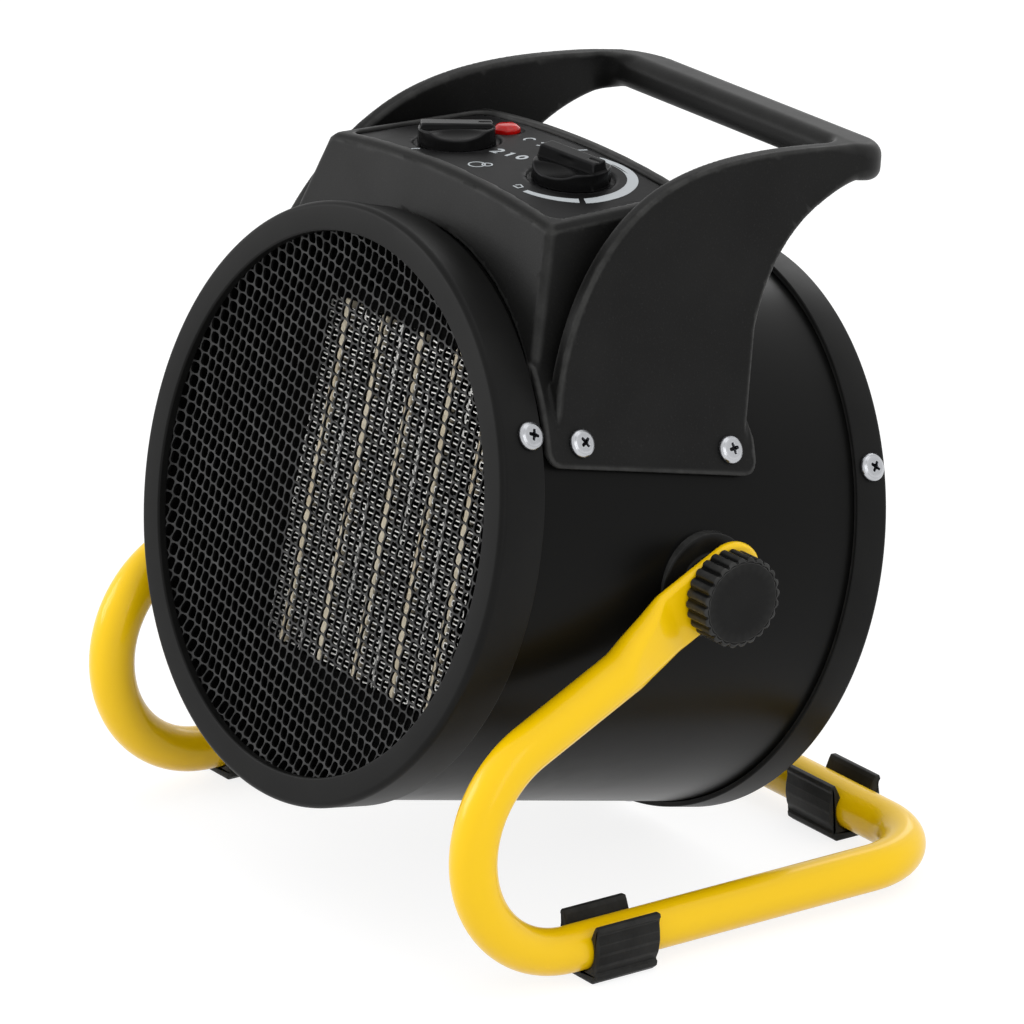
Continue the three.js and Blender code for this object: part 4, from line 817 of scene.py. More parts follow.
def expanded_mesh(wide, high, drop, wire, radius):
    """Rounded openings in a flat round sheet, in columns that step down from left to right.

    Their middles are i a + j b with a = (wide, -drop) and b = (-high / 18, high). A cell is the
    hexagon of the points nearest to a middle, with sides at distances d towards directions n.
    Towards a direction u its opening reaches (sum over n of (|u n| / (d - wire / 2)) ** 5)
    ** (-1 / 5). All is bent a little by six random waves.
    """
    a, b = np.array([wide, -drop]), np.array([-high / 18, high])
    sides = np.array([a, a + b, b, -a, -a - b, -b])
    reach = np.linalg.norm(sides, axis=1) / 2
    out = sides / (2 * reach[:, None])
    ahead, beyond = np.roll(out, -1, axis=0), np.roll(reach, -1)
    turn = out[:, 0] * ahead[:, 1] - out[:, 1] * ahead[:, 0]
    corner = np.stack([reach * ahead[:, 1] - beyond * out[:, 1],
                       beyond * out[:, 0] - reach * ahead[:, 0]], 1) / turn[:, None]
    start = np.roll(corner, 1, axis=0)
    outer = np.stack([start, (start + corner) / 2], axis=1).reshape(12, 2)
    towards = outer / np.linalg.norm(outer, axis=1, keepdims=True)
    share = np.abs(towards @ out[:3].T) / (reach[:3] - wire / 2)
    inner = towards * (share ** 5).sum(1, keepdims=True) ** (-1 / 5)
    rings = np.stack([outer, inner, inner, inner, outer])
    depth = np.array([*MESH_DEPTHS, MESH_THICK, MESH_THICK])[:, None]

    columns = np.arange(-int(radius / wide) - 2, int(radius / wide) + 3)
    rows = np.arange(-int(radius * 1.4 / high) - 2, int(radius * 1.4 / high) + 3)
    grid = columns[:, None, None] * a + rows[:, None] * b
    keep = np.hypot(grid[..., 0], grid[..., 1]) < radius - 2
    middle = grid[keep]
    flat = middle[:, None, None] + rings
    random = np.random.default_rng(7)
    wave = random.normal(0, 0.75, (6, 2))
    lean = random.normal(0, 0.06, (6, 2))
    flat = flat + np.sin(flat @ wave.T + random.uniform(0, 6.28, 6)) @ lean
    points = np.stack([flat[..., 0], np.broadcast_to(depth, flat.shape[:-1]), flat[..., 1]], -1)
    base = np.arange(len(middle)) * rings.shape[0] * rings.shape[1]
    faces = (net(5, 12, False, True) + base[:, None, None]).reshape(-1, 4)

    steps = np.array([[1, 0], [1, 1], [0, 1], [-1, 0], [-1, -1], [0, -1]])
    place = np.argwhere(keep)
    beside = place[:, None] + steps
    cell, side = np.nonzero(~keep[beside[..., 0], beside[..., 1]])
    edge = base[cell][:, None] + (2 * side[:, None] + np.arange(3)) % 12
    walls = [np.stack([edge[:, k], edge[:, k + 1], edge[:, k + 1] + 48, edge[:, k] + 48], 1)
             for k in (0, 1)]
    return points.reshape(-1, 3), [np.concatenate([faces, *walls])]


def folded_foil(from_x, to_x, spacing, thick, low, high, seed):
    """Foil folded to and fro between two upright lines, in level legs with small bends.

    Leg k lies at (k + 1/2) * spacing, a little off by chance. The skin keeps its colour at its
    front edge, and its roundness falls to -1 behind it, which paints shade between the legs.
    """
    legs = int(round((high[2] - low[2]) / spacing))
    spacing = (high[2] - low[2]) / legs
    bend = 0.4
    half = (to_x - from_x) / 2 - thick / 2 - bend
    x = np.array([-half, 0, half, half + 0.7 * bend, half + bend, half + bend, half + 0.7 * bend])
    z = np.array([0, 0, 0, 0.3 * bend, bend, spacing - bend, spacing - 0.3 * bend])
    side = np.where(np.arange(legs) % 2 == 0, 1, -1)[:, None]
    random = np.random.default_rng(seed)
    wobble = random.normal(0, 0.11, (legs, 2))[:, [0, 1, 0, 0, 0, 0, 0]]
    x = (from_x + to_x) / 2 + side * x
    z = low[2] + (np.arange(legs)[:, None] + 0.5) * spacing + z + wobble
    sheet = np.stack([x.ravel(), z.ravel()], axis=1)[:-5]
    run = np.gradient(sheet, axis=0)
    run /= np.maximum(np.linalg.norm(run, axis=1, keepdims=True), 1e-6)
    off = np.stack([run[:, 1], -run[:, 0]], axis=1) * thick / 2
    ring = np.stack([sheet + off] * 3 + [sheet - off] * 3, axis=1)
    mouth = low[1] + 0.7
    depth = np.array([low[1], mouth, high[1], high[1], mouth, low[1]])
    points = np.stack([ring[..., 0], np.broadcast_to(depth, ring.shape[:2]), ring[..., 1]], -1)
    index = np.arange(len(sheet) * 6).reshape(-1, 6)
    caps = [[row[0], row[1], row[4], row[5]] for row in (index[0], index[-1])]
    caps += [[row[1], row[2], row[3], row[4]] for row in (index[0], index[-1])]
    painted_shade = np.broadcast_to(np.array([0.0, -1, -1, -1, -1, 0]), ring.shape[:2])
    faces = np.concatenate([net(len(sheet), 6, False, True), caps])
    return points.reshape(-1, 3), faces, painted_shade.ravel()


def rounded_block(low, high, rounding, steps=3):
    """A block with rounded edges: a sphere's net pushed apart by the block's flat lengths."""
    low, high = np.asarray(low, float), np.asarray(high, float)
    centre, half = (low + high) / 2, (high - low) / 2
    rounding = min(rounding, *(half * 0.98))
    turn = np.linspace(0, math.pi / 2, steps + 1)
    quarter = np.concatenate([turn + k * math.pi / 2 for k in range(4)])
    rise = np.concatenate([turn - math.pi / 2, turn])
    around, up = np.meshgrid(quarter, rise)
    corner = np.repeat(np.array([[1, 1], [-1, 1], [-1, -1], [1, -1]]), steps + 1, axis=0)
    flat = half - rounding
    x = rounding * np.cos(up) * np.cos(around) + corner[:, 0] * flat[0]
    y = rounding * np.cos(up) * np.sin(around) + corner[:, 1] * flat[1]
    z = rounding * np.sin(up) + np.where(np.arange(len(rise)) > steps, 1, -1)[:, None] * flat[2]
    points = np.stack([x, y, z], axis=-1).reshape(-1, 3) + centre
    rows, columns = around.shape
    top = (rows - 1) * columns + np.arange(columns)
    return points, [net(rows, columns, False, True), np.array([np.arange(columns), top])]


def screw_height(a, b, radius, high, recess):
    """Height of a pan head over (a, b): a low dome in a flat rim, with a cross cut into it."""
    r, rim = np.hypot(a, b), 0.62
    dome = rim + (high - rim) * np.maximum(1 - (r / radius) ** 3.2, 0) ** 0.55
    dome = dome - 0.05 * np.exp(-((r - radius * 0.8) / 0.3) ** 2)
    return dome - recess * cross_mask(a, b) * (1 - 0.25 * r / radius)


def cross_mask(a, b):
    """1 inside the cross of a screw's recess, with round ends to its arms."""
    near, far = np.minimum(np.abs(a), np.abs(b)), np.maximum(np.abs(a), np.abs(b))
    arm = np.hypot(near, np.maximum(far - 1.45, 0))
    return 1 - smooth_step(0.4, 0.62, arm)


def screw_shape(radius, high, recess=1.7):
    """Pan head: its height over a round net, then down the side to a flat seat."""
    rings, sides = 30, 96
    share = np.linspace(0, 1, rings) ** 0.9
    t = full_turn(sides)
    r = share[:, None] * radius * 0.995
    a, b = r * np.cos(t), r * np.sin(t)
    upper = np.stack([a, b, screw_height(a, b, radius, high, recess)], axis=-1)
    rim = np.array([[radius, 0.5], [radius, 0.1], [radius - 0.1, 0.0], [0, 0.0]])
    lower = np.stack([rim[:, :1] * np.cos(t), rim[:, :1] * np.sin(t),
                      np.broadcast_to(rim[:, 1:], (4, sides))], axis=-1)
    points = np.concatenate([upper, lower]).reshape(-1, 3)
    return points, net(rings + 4, sides, False, True)


def spun(points, angle):
    """Turned about z by an angle in degrees."""
    c, s = math.cos(math.radians(angle)), math.sin(math.radians(angle))
    return np.asarray(points) @ np.array([[c, s, 0], [-s, c, 0], [0, 0, 1]])


def about_drum(points, angle):
    """Turned about the drum's axis by an angle in degrees."""
    c, s = math.cos(math.radians(angle)), math.sin(math.radians(angle))
    return np.asarray(points) @ np.array([[c, 0, s], [0, 1, 0], [-s, 0, c]])


def on_drum(points, angle, radius, y):
    """Carries a shape whose z stands up to a place on the drum, z along the radius."""
    t = math.radians(angle)
    out, side = np.array([math.cos(t), 0, math.sin(t)]), np.array([-math.sin(t), 0, math.cos(t)])
    p = np.asarray(points)
    return (out * radius + np.array([0, y, 0]) + p[:, 2:] * out + p[:, :1] * [0, 1, 0]
            + p[:, 1:2] * side)


# Handle housing ----------------------------------------------------------------------------

def box_top(x, y):
    """Height of the box's top: a crown over its width and a slope towards the rear."""
    return BOX_TOP + BOX_CROWN * (1 - (x / BOX_HALF) ** 2) + PANEL_SLOPE * (y - BOX_FRONT)


def box_column(x, y, z, inset, corner, bevel=0.0):
    """Distance to the box's upright faces, each leaning, with rounded or bevelled corners."""
    below = BOX_TOP - z
    side = (x - (BOX_HALF + BOX_TAPER * below - inset)) / math.hypot(1, BOX_TAPER)
    front = ((BOX_FRONT - 0.1 * below + inset) - y) / math.hypot(1, 0.1)
    rear = y - (BOX_REAR - inset)
    if bevel:
        edge = (side + front + bevel) * math.sqrt(0.5)
        body = round_meet(round_meet(side, edge, corner), round_meet(front, edge, corner), 0.4)
    else:
        body = round_meet(side, front, corner)
    return round_meet(body, rear, corner if not bevel else 2.5)


def fin_outline():
    """Outline of a side fin in (y, z): two curves up the front, the bar, two curves down."""
    long, tall = 137.0, HANDLE_TOP - FOLD_Z

    def at(shares):
        return np.asarray(shares, float) * (long, tall) + (FIN_FRONT, FOLD_Z)

    def curve(a, b, c, d, steps=28):
        t = np.linspace(0, 1, steps)[1:, None]
        return ((1 - t) ** 3 * a + 3 * t * (1 - t) ** 2 * b + 3 * t ** 2 * (1 - t) * c
                + t ** 3 * d)

    rise = at([[0, 0.12], [0.015, 0.41], [0.12, 0.68], [0.29, 0.81]])
    crest = at([[0.29, 0.81], [0.45, 0.935], [0.67, 0.97], [0.875, 1.0]])
    down = at([[0.88, 0.87], [0.715, 0.8], [0.612, 0.61], [0.588, 0.36]])
    tip = np.array([(HANDLE_REAR + 8, HANDLE_TOP), (HANDLE_REAR + 8, HANDLE_TOP - BAR_HIGH)])
    return np.concatenate([at([[0, -0.05], [0, 0.12]]), curve(*rise), curve(*crest), tip,
                           down[:1], curve(*down), at([[0.588, -0.05]])])


def housing_field(x, y, z, edge, fillet):
    """Distance field of the whole moulding, for x from 0 outwards.

    Box, leaning fins and bar are joined with arcs, joined to the flanges that follow the drum,
    and hollowed under the panel. A fin's wall and the bar are met with the fin's outline and
    with an outer face that turns round the handle's rear corners.
    """
    lean = 1 / math.hypot(1, FIN_TAPER)
    fin_face = FOLD_X - FIN_TAPER * (z - FOLD_Z)

    top = (z - box_top(x, y)) * math.cos(math.atan(PANEL_SLOPE))
    column = box_column(x, y, z, 0, 0.8, 1.5)
    box = round_meet(flat_meet(column, top, 2.0), top, 0.6)

    outline = outline_distance(fin_outline(), y[0], z[0])[None]
    outer = round_meet((x - fin_face) * lean, y - HANDLE_REAR, 15.0)
    near_bar = smooth_step(HANDLE_REAR - 34, HANDLE_REAR - 12, y)
    rim = round_meet(outline, outer, 1.1 + 3.4 * near_bar)
    wall = (fin_face - 6 - x) * lean
    bar = round_meet(HANDLE_REAR - BAR_DEEP - y, HANDLE_TOP - BAR_HIGH - z, 5.0)
    inside = round_join(wall, bar, 7.0)
    handle = round_meet(rim, inside, edge + (4.6 - edge) * smooth_step(0, 9, wall))

    radius = np.hypot(x, z)
    shell = round_meet(radius - FLANGE_OUTER, COVER_INNER - 4 - radius, 0.5)
    rear = FLANGE_FRONT + FLANGE_LONG
    sheet = closed_path([
        (FLANGE_FRONT, FLANGE_TOP), (FLANGE_FRONT, FLANGE_BOTTOM), (rear, FLANGE_BOTTOM),
        (rear, FOLD_Z), (rear - 3.5, FOLD_Z + 11), (rear - 3.5, FLANGE_TOP)],
        [0.5, 5.5, 5.5, 2, 3, 0.5], 8)
    flange = round_meet(shell, outline_distance(sheet, y[0], z[0])[None], 0.8)

    solid = round_join(box, handle, fillet)
    solid = round_join(solid, flange, 1.2)

    under = PANEL_DROP + PANEL_THICK + 0.3
    recess = np.maximum(box_column(x, y, z, 4.7, 5.0), -(top + under))
    ledge, window = 2.5, box_column(x, y, z, 9.0, 3.0)
    cavity = round_meet(box_column(x, y, z, 3.0, 2.5), top + under + ledge, 1.0)
    gland = np.maximum(np.hypot(x, z - (DRUM_RADIUS + 16)) - 7.3, BOX_REAR - 8 - y)
    gland = np.maximum(gland, y - BOX_REAR - 5)
    solid = round_meet(solid, -recess, 0.8)
    solid = np.maximum(solid, -np.minimum(np.minimum(window, cavity), gland))
    return round_meet(solid, COVER_INNER - radius, 0.6)


# Panel and dials ---------------------------------------------------------------------------

def panel_frame(x, y):
    """Axes of the panel at a place: its origin, and directions along, up the slope and out."""
    slope_x = -2 * BOX_CROWN * x / BOX_HALF ** 2
    out = np.array([-slope_x, -PANEL_SLOPE, 1.0])
    out /= np.linalg.norm(out)
    along = np.array([1, 0, slope_x])
    along /= np.linalg.norm(along)
    up = np.cross(out, along)
    origin = np.array([x, y, float(box_top(x, y)) - PANEL_DROP])
    return origin, along, up, out


def on_panel(points, x, y):
    """Carries a shape whose z stands up to a place on the panel."""
    origin, along, up, out = panel_frame(x, y)
    p = np.asarray(points)
    return origin + p[:, :1] * along + p[:, 1:2] * up + p[:, 2:] * out


def dial_field(a, b, c, radius, base_high, top):
    """Distance field of a bar-grip dial, c up: a disc, a bar across it, and a scoop on each side.

    The bar is a slab whose sides and ends lean inwards. A scoop is an ellipsoid about the rim
    that cuts the disc down to base_high there and stops at the bar. The notch at one end of the
    bar is a small cylinder.
    """
    r = np.hypot(a, b)
    ledge = base_high + 2.0
    disc = round_meet(r - radius + 0.04 * c, np.maximum(c - ledge, -c), 0.5)
    height = c - base_high
    lean = 0.14 * height
    sides = np.abs(b) - 4.0 + lean
    ends = np.abs(a) - (radius - 0.7) + lean
    slab = round_meet(round_meet(sides, ends, 0.6), c - top + 0.03 * (a + radius), 0.6)
    body = round_join(disc, np.maximum(slab, -c), 0.4)
    reach = (radius * 0.93, radius - 3.4, 4.0)
    scoop = np.sqrt((a / reach[0]) ** 2 + ((np.abs(b) - radius) / reach[1]) ** 2
                    + ((c - base_high - 4.0) / reach[2]) ** 2) - 1
    body = round_meet(body, -scoop * 4.0, 0.35)
    notch = np.maximum(np.hypot(b, (c - top) * 0.8) - 0.8, 7.5 - a)
    return round_meet(body, -notch, 0.35)


def ink_patch(outline, x, y, thick=0.12):
    """A flat outline laid on the crowned, sloping panel as a thin film."""
    def place(p, q, lift):
        height = box_top(x + p, y + q) - PANEL_DROP + lift
        return np.stack([x + p, y + q, height], axis=-1)

    return lofted(outline, [0.02, thick], [0, 0.02], place)


def arc_band(bend, inner, outer, steps=48):
    """Outline of an arc whose inner and outer radii are given at some angles in degrees."""
    angle = np.linspace(bend[0], bend[-1], steps)
    t = np.radians(angle)
    low, high = np.interp(angle, bend, inner), np.interp(angle, bend, outer)
    near = np.stack([low * np.cos(t), low * np.sin(t)], 1)
    far = np.stack([high * np.cos(t), high * np.sin(t)], 1)
    return np.concatenate([near, far[::-1]])


def stroke(points, width):
    """Outline of a pen stroke along a few points, of one width, square at its ends."""
    p = np.asarray(points, float)
    run = np.gradient(p, axis=0)
    run /= np.linalg.norm(run, axis=1, keepdims=True)
    off = np.stack([-run[:, 1], run[:, 0]], 1) * width / 2
    return np.concatenate([p - off, (p + off)[::-1]])


# Clamps and stand --------------------------------------------------------------------------

def fluted_knob(radius, thick, flutes, depth, seat):
    """Round knob with scalloped rim: r = R * p(s) - depth * w(angle) * f(s), along x.

    p is the half section, w a wave with wide crests and narrow valleys, and f fades the flutes
    out on both faces.
    """
    outer = seat + thick
    section = rounded_path([
        (0, outer - 0.15), (radius * 0.42, outer - 0.1), (radius * 0.885, outer),
        (radius * 0.9, outer - 0.35), (radius * 0.915, outer - 0.05), (radius, outer - 0.1),
        (radius, seat), (radius * 0.55, seat), (0, seat)],
        [3, 1, 0.2, 0.2, 0.8, 0.9, 0.3], 6)
    sides = flutes * 16
    t = full_turn(sides)
    wave = (0.5 - 0.5 * np.cos(flutes * t)) ** 1.6
    fade = smooth_step(radius * 0.86, radius * 0.99, section[:, 0])[:, None]
    r = section[:, :1] - depth * wave * fade
    points = np.stack([section[:, 1:] + 0 * t, r * np.cos(t), r * np.sin(t)], axis=-1)
    return points.reshape(-1, 3), net(len(section), sides, False, True)


def stand_path(step=1.6):
    """Middle line of the right half of the tube, in the stand frame, with its outward side.

    Straight from the pivot to the front bend, round it, back along the floor, round the rear
    corner and to the middle plane.
    """
    reach, bend, corner, rear = 99.6, 40.0, 30.0, 97.0
    pivot = np.array([LEG_PLANE, 0, PIVOT[2]])
    centre = np.array([LEG_PLANE, bend - reach, TUBE_HEIGHT + bend])
    towards = centre - pivot
    distance = np.linalg.norm(towards)
    aside = math.asin(bend / distance)
    base = math.atan2(towards[2], towards[1]) - aside
    heading = np.array([0, math.cos(base), math.sin(base)])
    straight = math.sqrt(distance ** 2 - bend ** 2)
    along = np.arange(0, straight, step)[:, None]
    leg = pivot + along * heading
    tangent = pivot + straight * heading
    start = math.atan2(tangent[2] - centre[2], tangent[1] - centre[1])
    end = 1.5 * math.pi
    start %= 2 * math.pi
    turn = np.linspace(start, end, max(3, int(bend * (end - start) / step)))
    arc = centre + bend * np.stack([0 * turn, np.cos(turn), np.sin(turn)], 1)
    run_end = rear - corner
    floor_y = np.arange(centre[1] + step, run_end, step)
    floor = np.stack([np.full_like(floor_y, LEG_PLANE), floor_y,
                      np.full_like(floor_y, TUBE_HEIGHT)], 1)
    turn = np.linspace(0, math.pi / 2, int(corner * math.pi / 2 / step))
    middle = np.array([LEG_PLANE - corner, run_end, TUBE_HEIGHT])
    out_corner = np.stack([np.cos(turn), np.sin(turn), 0 * turn], 1)
    bendaway = middle + corner * out_corner
    x = np.arange(LEG_PLANE - corner - step, -step / 2, -step)
    back = np.stack([x, np.full_like(x, rear), np.full_like(x, TUBE_HEIGHT)], 1)
    outward = np.zeros((len(leg) + len(arc) + len(floor), 3))
    outward[:, 0] = 1
    out_back = np.tile([0.0, 1, 0], (len(back), 1))
    path = np.concatenate([leg, arc, floor, bendaway, back])
    return path, np.concatenate([outward, out_corner, out_back]), heading, len(leg)


def tube_skin(tab_long, press_long, sides=56):
    """The bent tube: a pressed flat end, then a stadium section that opens into a round one.

    A section has two flats and two half circles. Its girth stays that of the tube, so the flats
    are (girth - 2 pi t) / 4 to each side of the middle for a half thickness t, and t grows
    evenly over the pressed length. That leaves a crease shaped like a V on both faces. The
    flat end lies a little above the pivot.
    """
    path, outward, heading, legs = stand_path()
    along = np.linalg.norm(path - path[0], axis=1)
    along[legs:] = 1e3
    opening = np.clip((along - tab_long) / press_long, 0, 1)
    soft = opening + 0.06 * np.sin(2 * math.pi * opening) * (opening < 1)
    half = TAB_THICK / 2 + (TUBE_RADIUS - TAB_THICK / 2) * soft
    before, cap_long = 6, 12
    end_along = -before - cap_long * np.cos(np.linspace(0, math.pi / 2, 12))
    ends = path[0] + end_along[:, None] * heading
    path = np.concatenate([ends, path])
    outward = np.concatenate([np.tile([1.0, 0, 0], (len(ends), 1)), outward])
    half = np.concatenate([np.full(len(ends), TAB_THICK / 2), half])
    share = smooth_step(TAB_THICK / 2, TUBE_RADIUS, half)
    path = path + np.array([1.0, 0, 0]) * ((TAB_PLANE - LEG_PLANE) * (1 - share))[:, None] * (
        outward[:, :1] > 0.999)
    flat = (2 * math.pi * TUBE_RADIUS - 2 * math.pi * half) / 4
    round_end = np.ones(len(path))
    cap = np.sqrt(np.maximum(1 - ((end_along + before) / cap_long) ** 2, 0.0))
    round_end[:len(ends)] = np.maximum(cap, 0.02)
    wide = (flat + half) * round_end
    edge = half * np.minimum(1, round_end + 0.35)
    run = np.gradient(path, axis=0)
    run /= np.linalg.norm(run, axis=1, keepdims=True)
    across = np.cross(run, outward)
    across /= np.linalg.norm(across, axis=1, keepdims=True)
    path = path + across * (TAB_ASIDE * (1 - share) * (outward[:, 0] > 0.999))[:, None]
    normal = np.cross(across, run)
    t = full_turn(sides)
    c, s = np.cos(t), np.sin(t)
    side = np.sign(s) * np.minimum(1, np.abs(s) * 1e6)
    wide_in = np.maximum(wide - edge, 0)[:, None]
    a = edge[:, None] * c
    b = edge[:, None] * s + side * wide_in
    rings = path[:, None] + a[..., None] * normal[:, None] + b[..., None] * across[:, None]
    both = np.concatenate([rings, rings[::-1] * (-1, 1, 1)])
    rows, columns = both.shape[:2]
    points = both.reshape(-1, 3)
    caps = np.array([np.arange(columns), (rows - 1) * columns + np.arange(columns)])
    return points, [net(rows, columns, False, True), caps]


def foot_outline(lip):
    """Cross-section of a rubber clip, open at the top: bore, lips, necks, walls, grooves, sole.

    Points are (across, up) from the tube's middle, and the left side mirrors the right one.
    """
    inner = TUBE_RADIUS + 0.2
    mouth = math.radians(52)
    t = np.linspace(math.pi / 2 + mouth, 2.5 * math.pi - mouth, 49)
    bore = np.stack([inner * np.cos(t), inner * np.sin(t)], 1)
    neck, sole = 7.1, -TUBE_HEIGHT
    corners = [
        bore[-1], (8.0, neck + lip * 0.5), (8.8, neck + lip), (10.8, neck + lip * 0.95),
        (11.25, neck + lip * 0.45), (10.3, neck), (10.9, 3.5), (11.1, 0), (10.4, -4.2),
        (9.1, -7.0), (9.9, -7.7), (9.7, -9.4), (7.4, sole), (0, sole)]
    side = rounded_path(
        corners, [1.0, 0.7, 0.6, 0.5, 0.7, 4, 5, 5, 0.3, 0.4, 0.8, 0.5], 5)[1:-1]
    return np.concatenate([bore, side, [(0, sole)], side[::-1] * (-1, 1)])


# Settings ----------------------------------------------------------------------------------

def length(name, description, millimetres):
    return FloatProperty(name=name, description=description, default=millimetres * MM,
                         min=0.0, unit="LENGTH", precision=5)


def paint(name, description, colour):
    return FloatVectorProperty(name=name, description=description, default=colour, size=3,
                               min=0.0, max=1.0, subtype="COLOR")


class HeaterSizes(bpy.types.PropertyGroup):
    bezel_rounding: length("Bezel rounding", "Radius of the bezel's outer edge", 2.2)
    cell_wide: length("Mesh cell width", "Spacing of the mesh's columns", 3.95)
    cell_high: length("Mesh cell height", "Spacing of the cells in a column", 4.78)
    cell_drop: length("Mesh cell drop", "How far each column lies below the last", 0.84)
    wire: length("Mesh wire", "Width of the mesh's wires", 0.32)
    fold_pitch: length("Fold pitch", "Spacing of the legs of the heating fins", 1.85)
    foil: length("Foil thickness", "Thickness of the heating fins", 0.46)
    housing_edge: length("Housing edge", "Radius of the moulded housing's edges", 1.6)
    housing_valley: length("Housing valley", "Radius between the box and the side fins", 1.6)
    housing_pitch: length("Housing detail", "Size of the skin's faces on the housing", 0.7)
    tab_long: length("Tab length", "Flat length of the tube's ends from the pivot", 20.0)
    press_long: length("Pressed length", "Length over which the tube opens to round", 26.0)
    knob_flutes: IntProperty(name="Knob flutes", description="Scallops round a clamp knob",
                             default=24, min=6, max=60)
    flute_depth: length("Flute depth", "Depth of a clamp knob's scallops", 0.9)
    foot_lip: length("Foot lip", "Height of the rubber feet's lips over their necks", 2.8)
    guard_slot: length("Guard slot", "Width of the rear guard's slots", 4.6)


class HeaterColours(bpy.types.PropertyGroup):
    moulding: paint("Moulding", "Bezel, housing and clamps", (0.0072, 0.0072, 0.0070))
    panel: paint("Panel", "Control panel and dials", (0.0060, 0.0060, 0.0062))
    drum: paint("Drum", "Painted drum, ring and guard", (0.0042, 0.0042, 0.0040))
    tube: paint("Tube", "Stand tube", (0.96, 0.60, 0.0))
    rubber: paint("Rubber", "Feet and gland", (0.0075, 0.0075, 0.0072))
    zinc: paint("Zinc", "Screws, shafts and brackets", (0.45, 0.46, 0.48))
    mesh: paint("Mesh", "Front mesh", (0.006, 0.006, 0.006))
    fins: paint("Fins", "Heating fins", (0.90, 0.89, 0.86))
    ceramic: paint("Ceramic", "Heater strips and blocks", (0.88, 0.79, 0.61))
    lens: paint("Lens", "Pilot lamp", (0.45, 0.003, 0.002))
    fan: paint("Fan", "Impeller and switch bodies", (0.022, 0.022, 0.024))
    marks: paint("Marks", "Printed scale and numbers", (0.42, 0.45, 0.47))


# Operators ---------------------------------------------------------------------------------

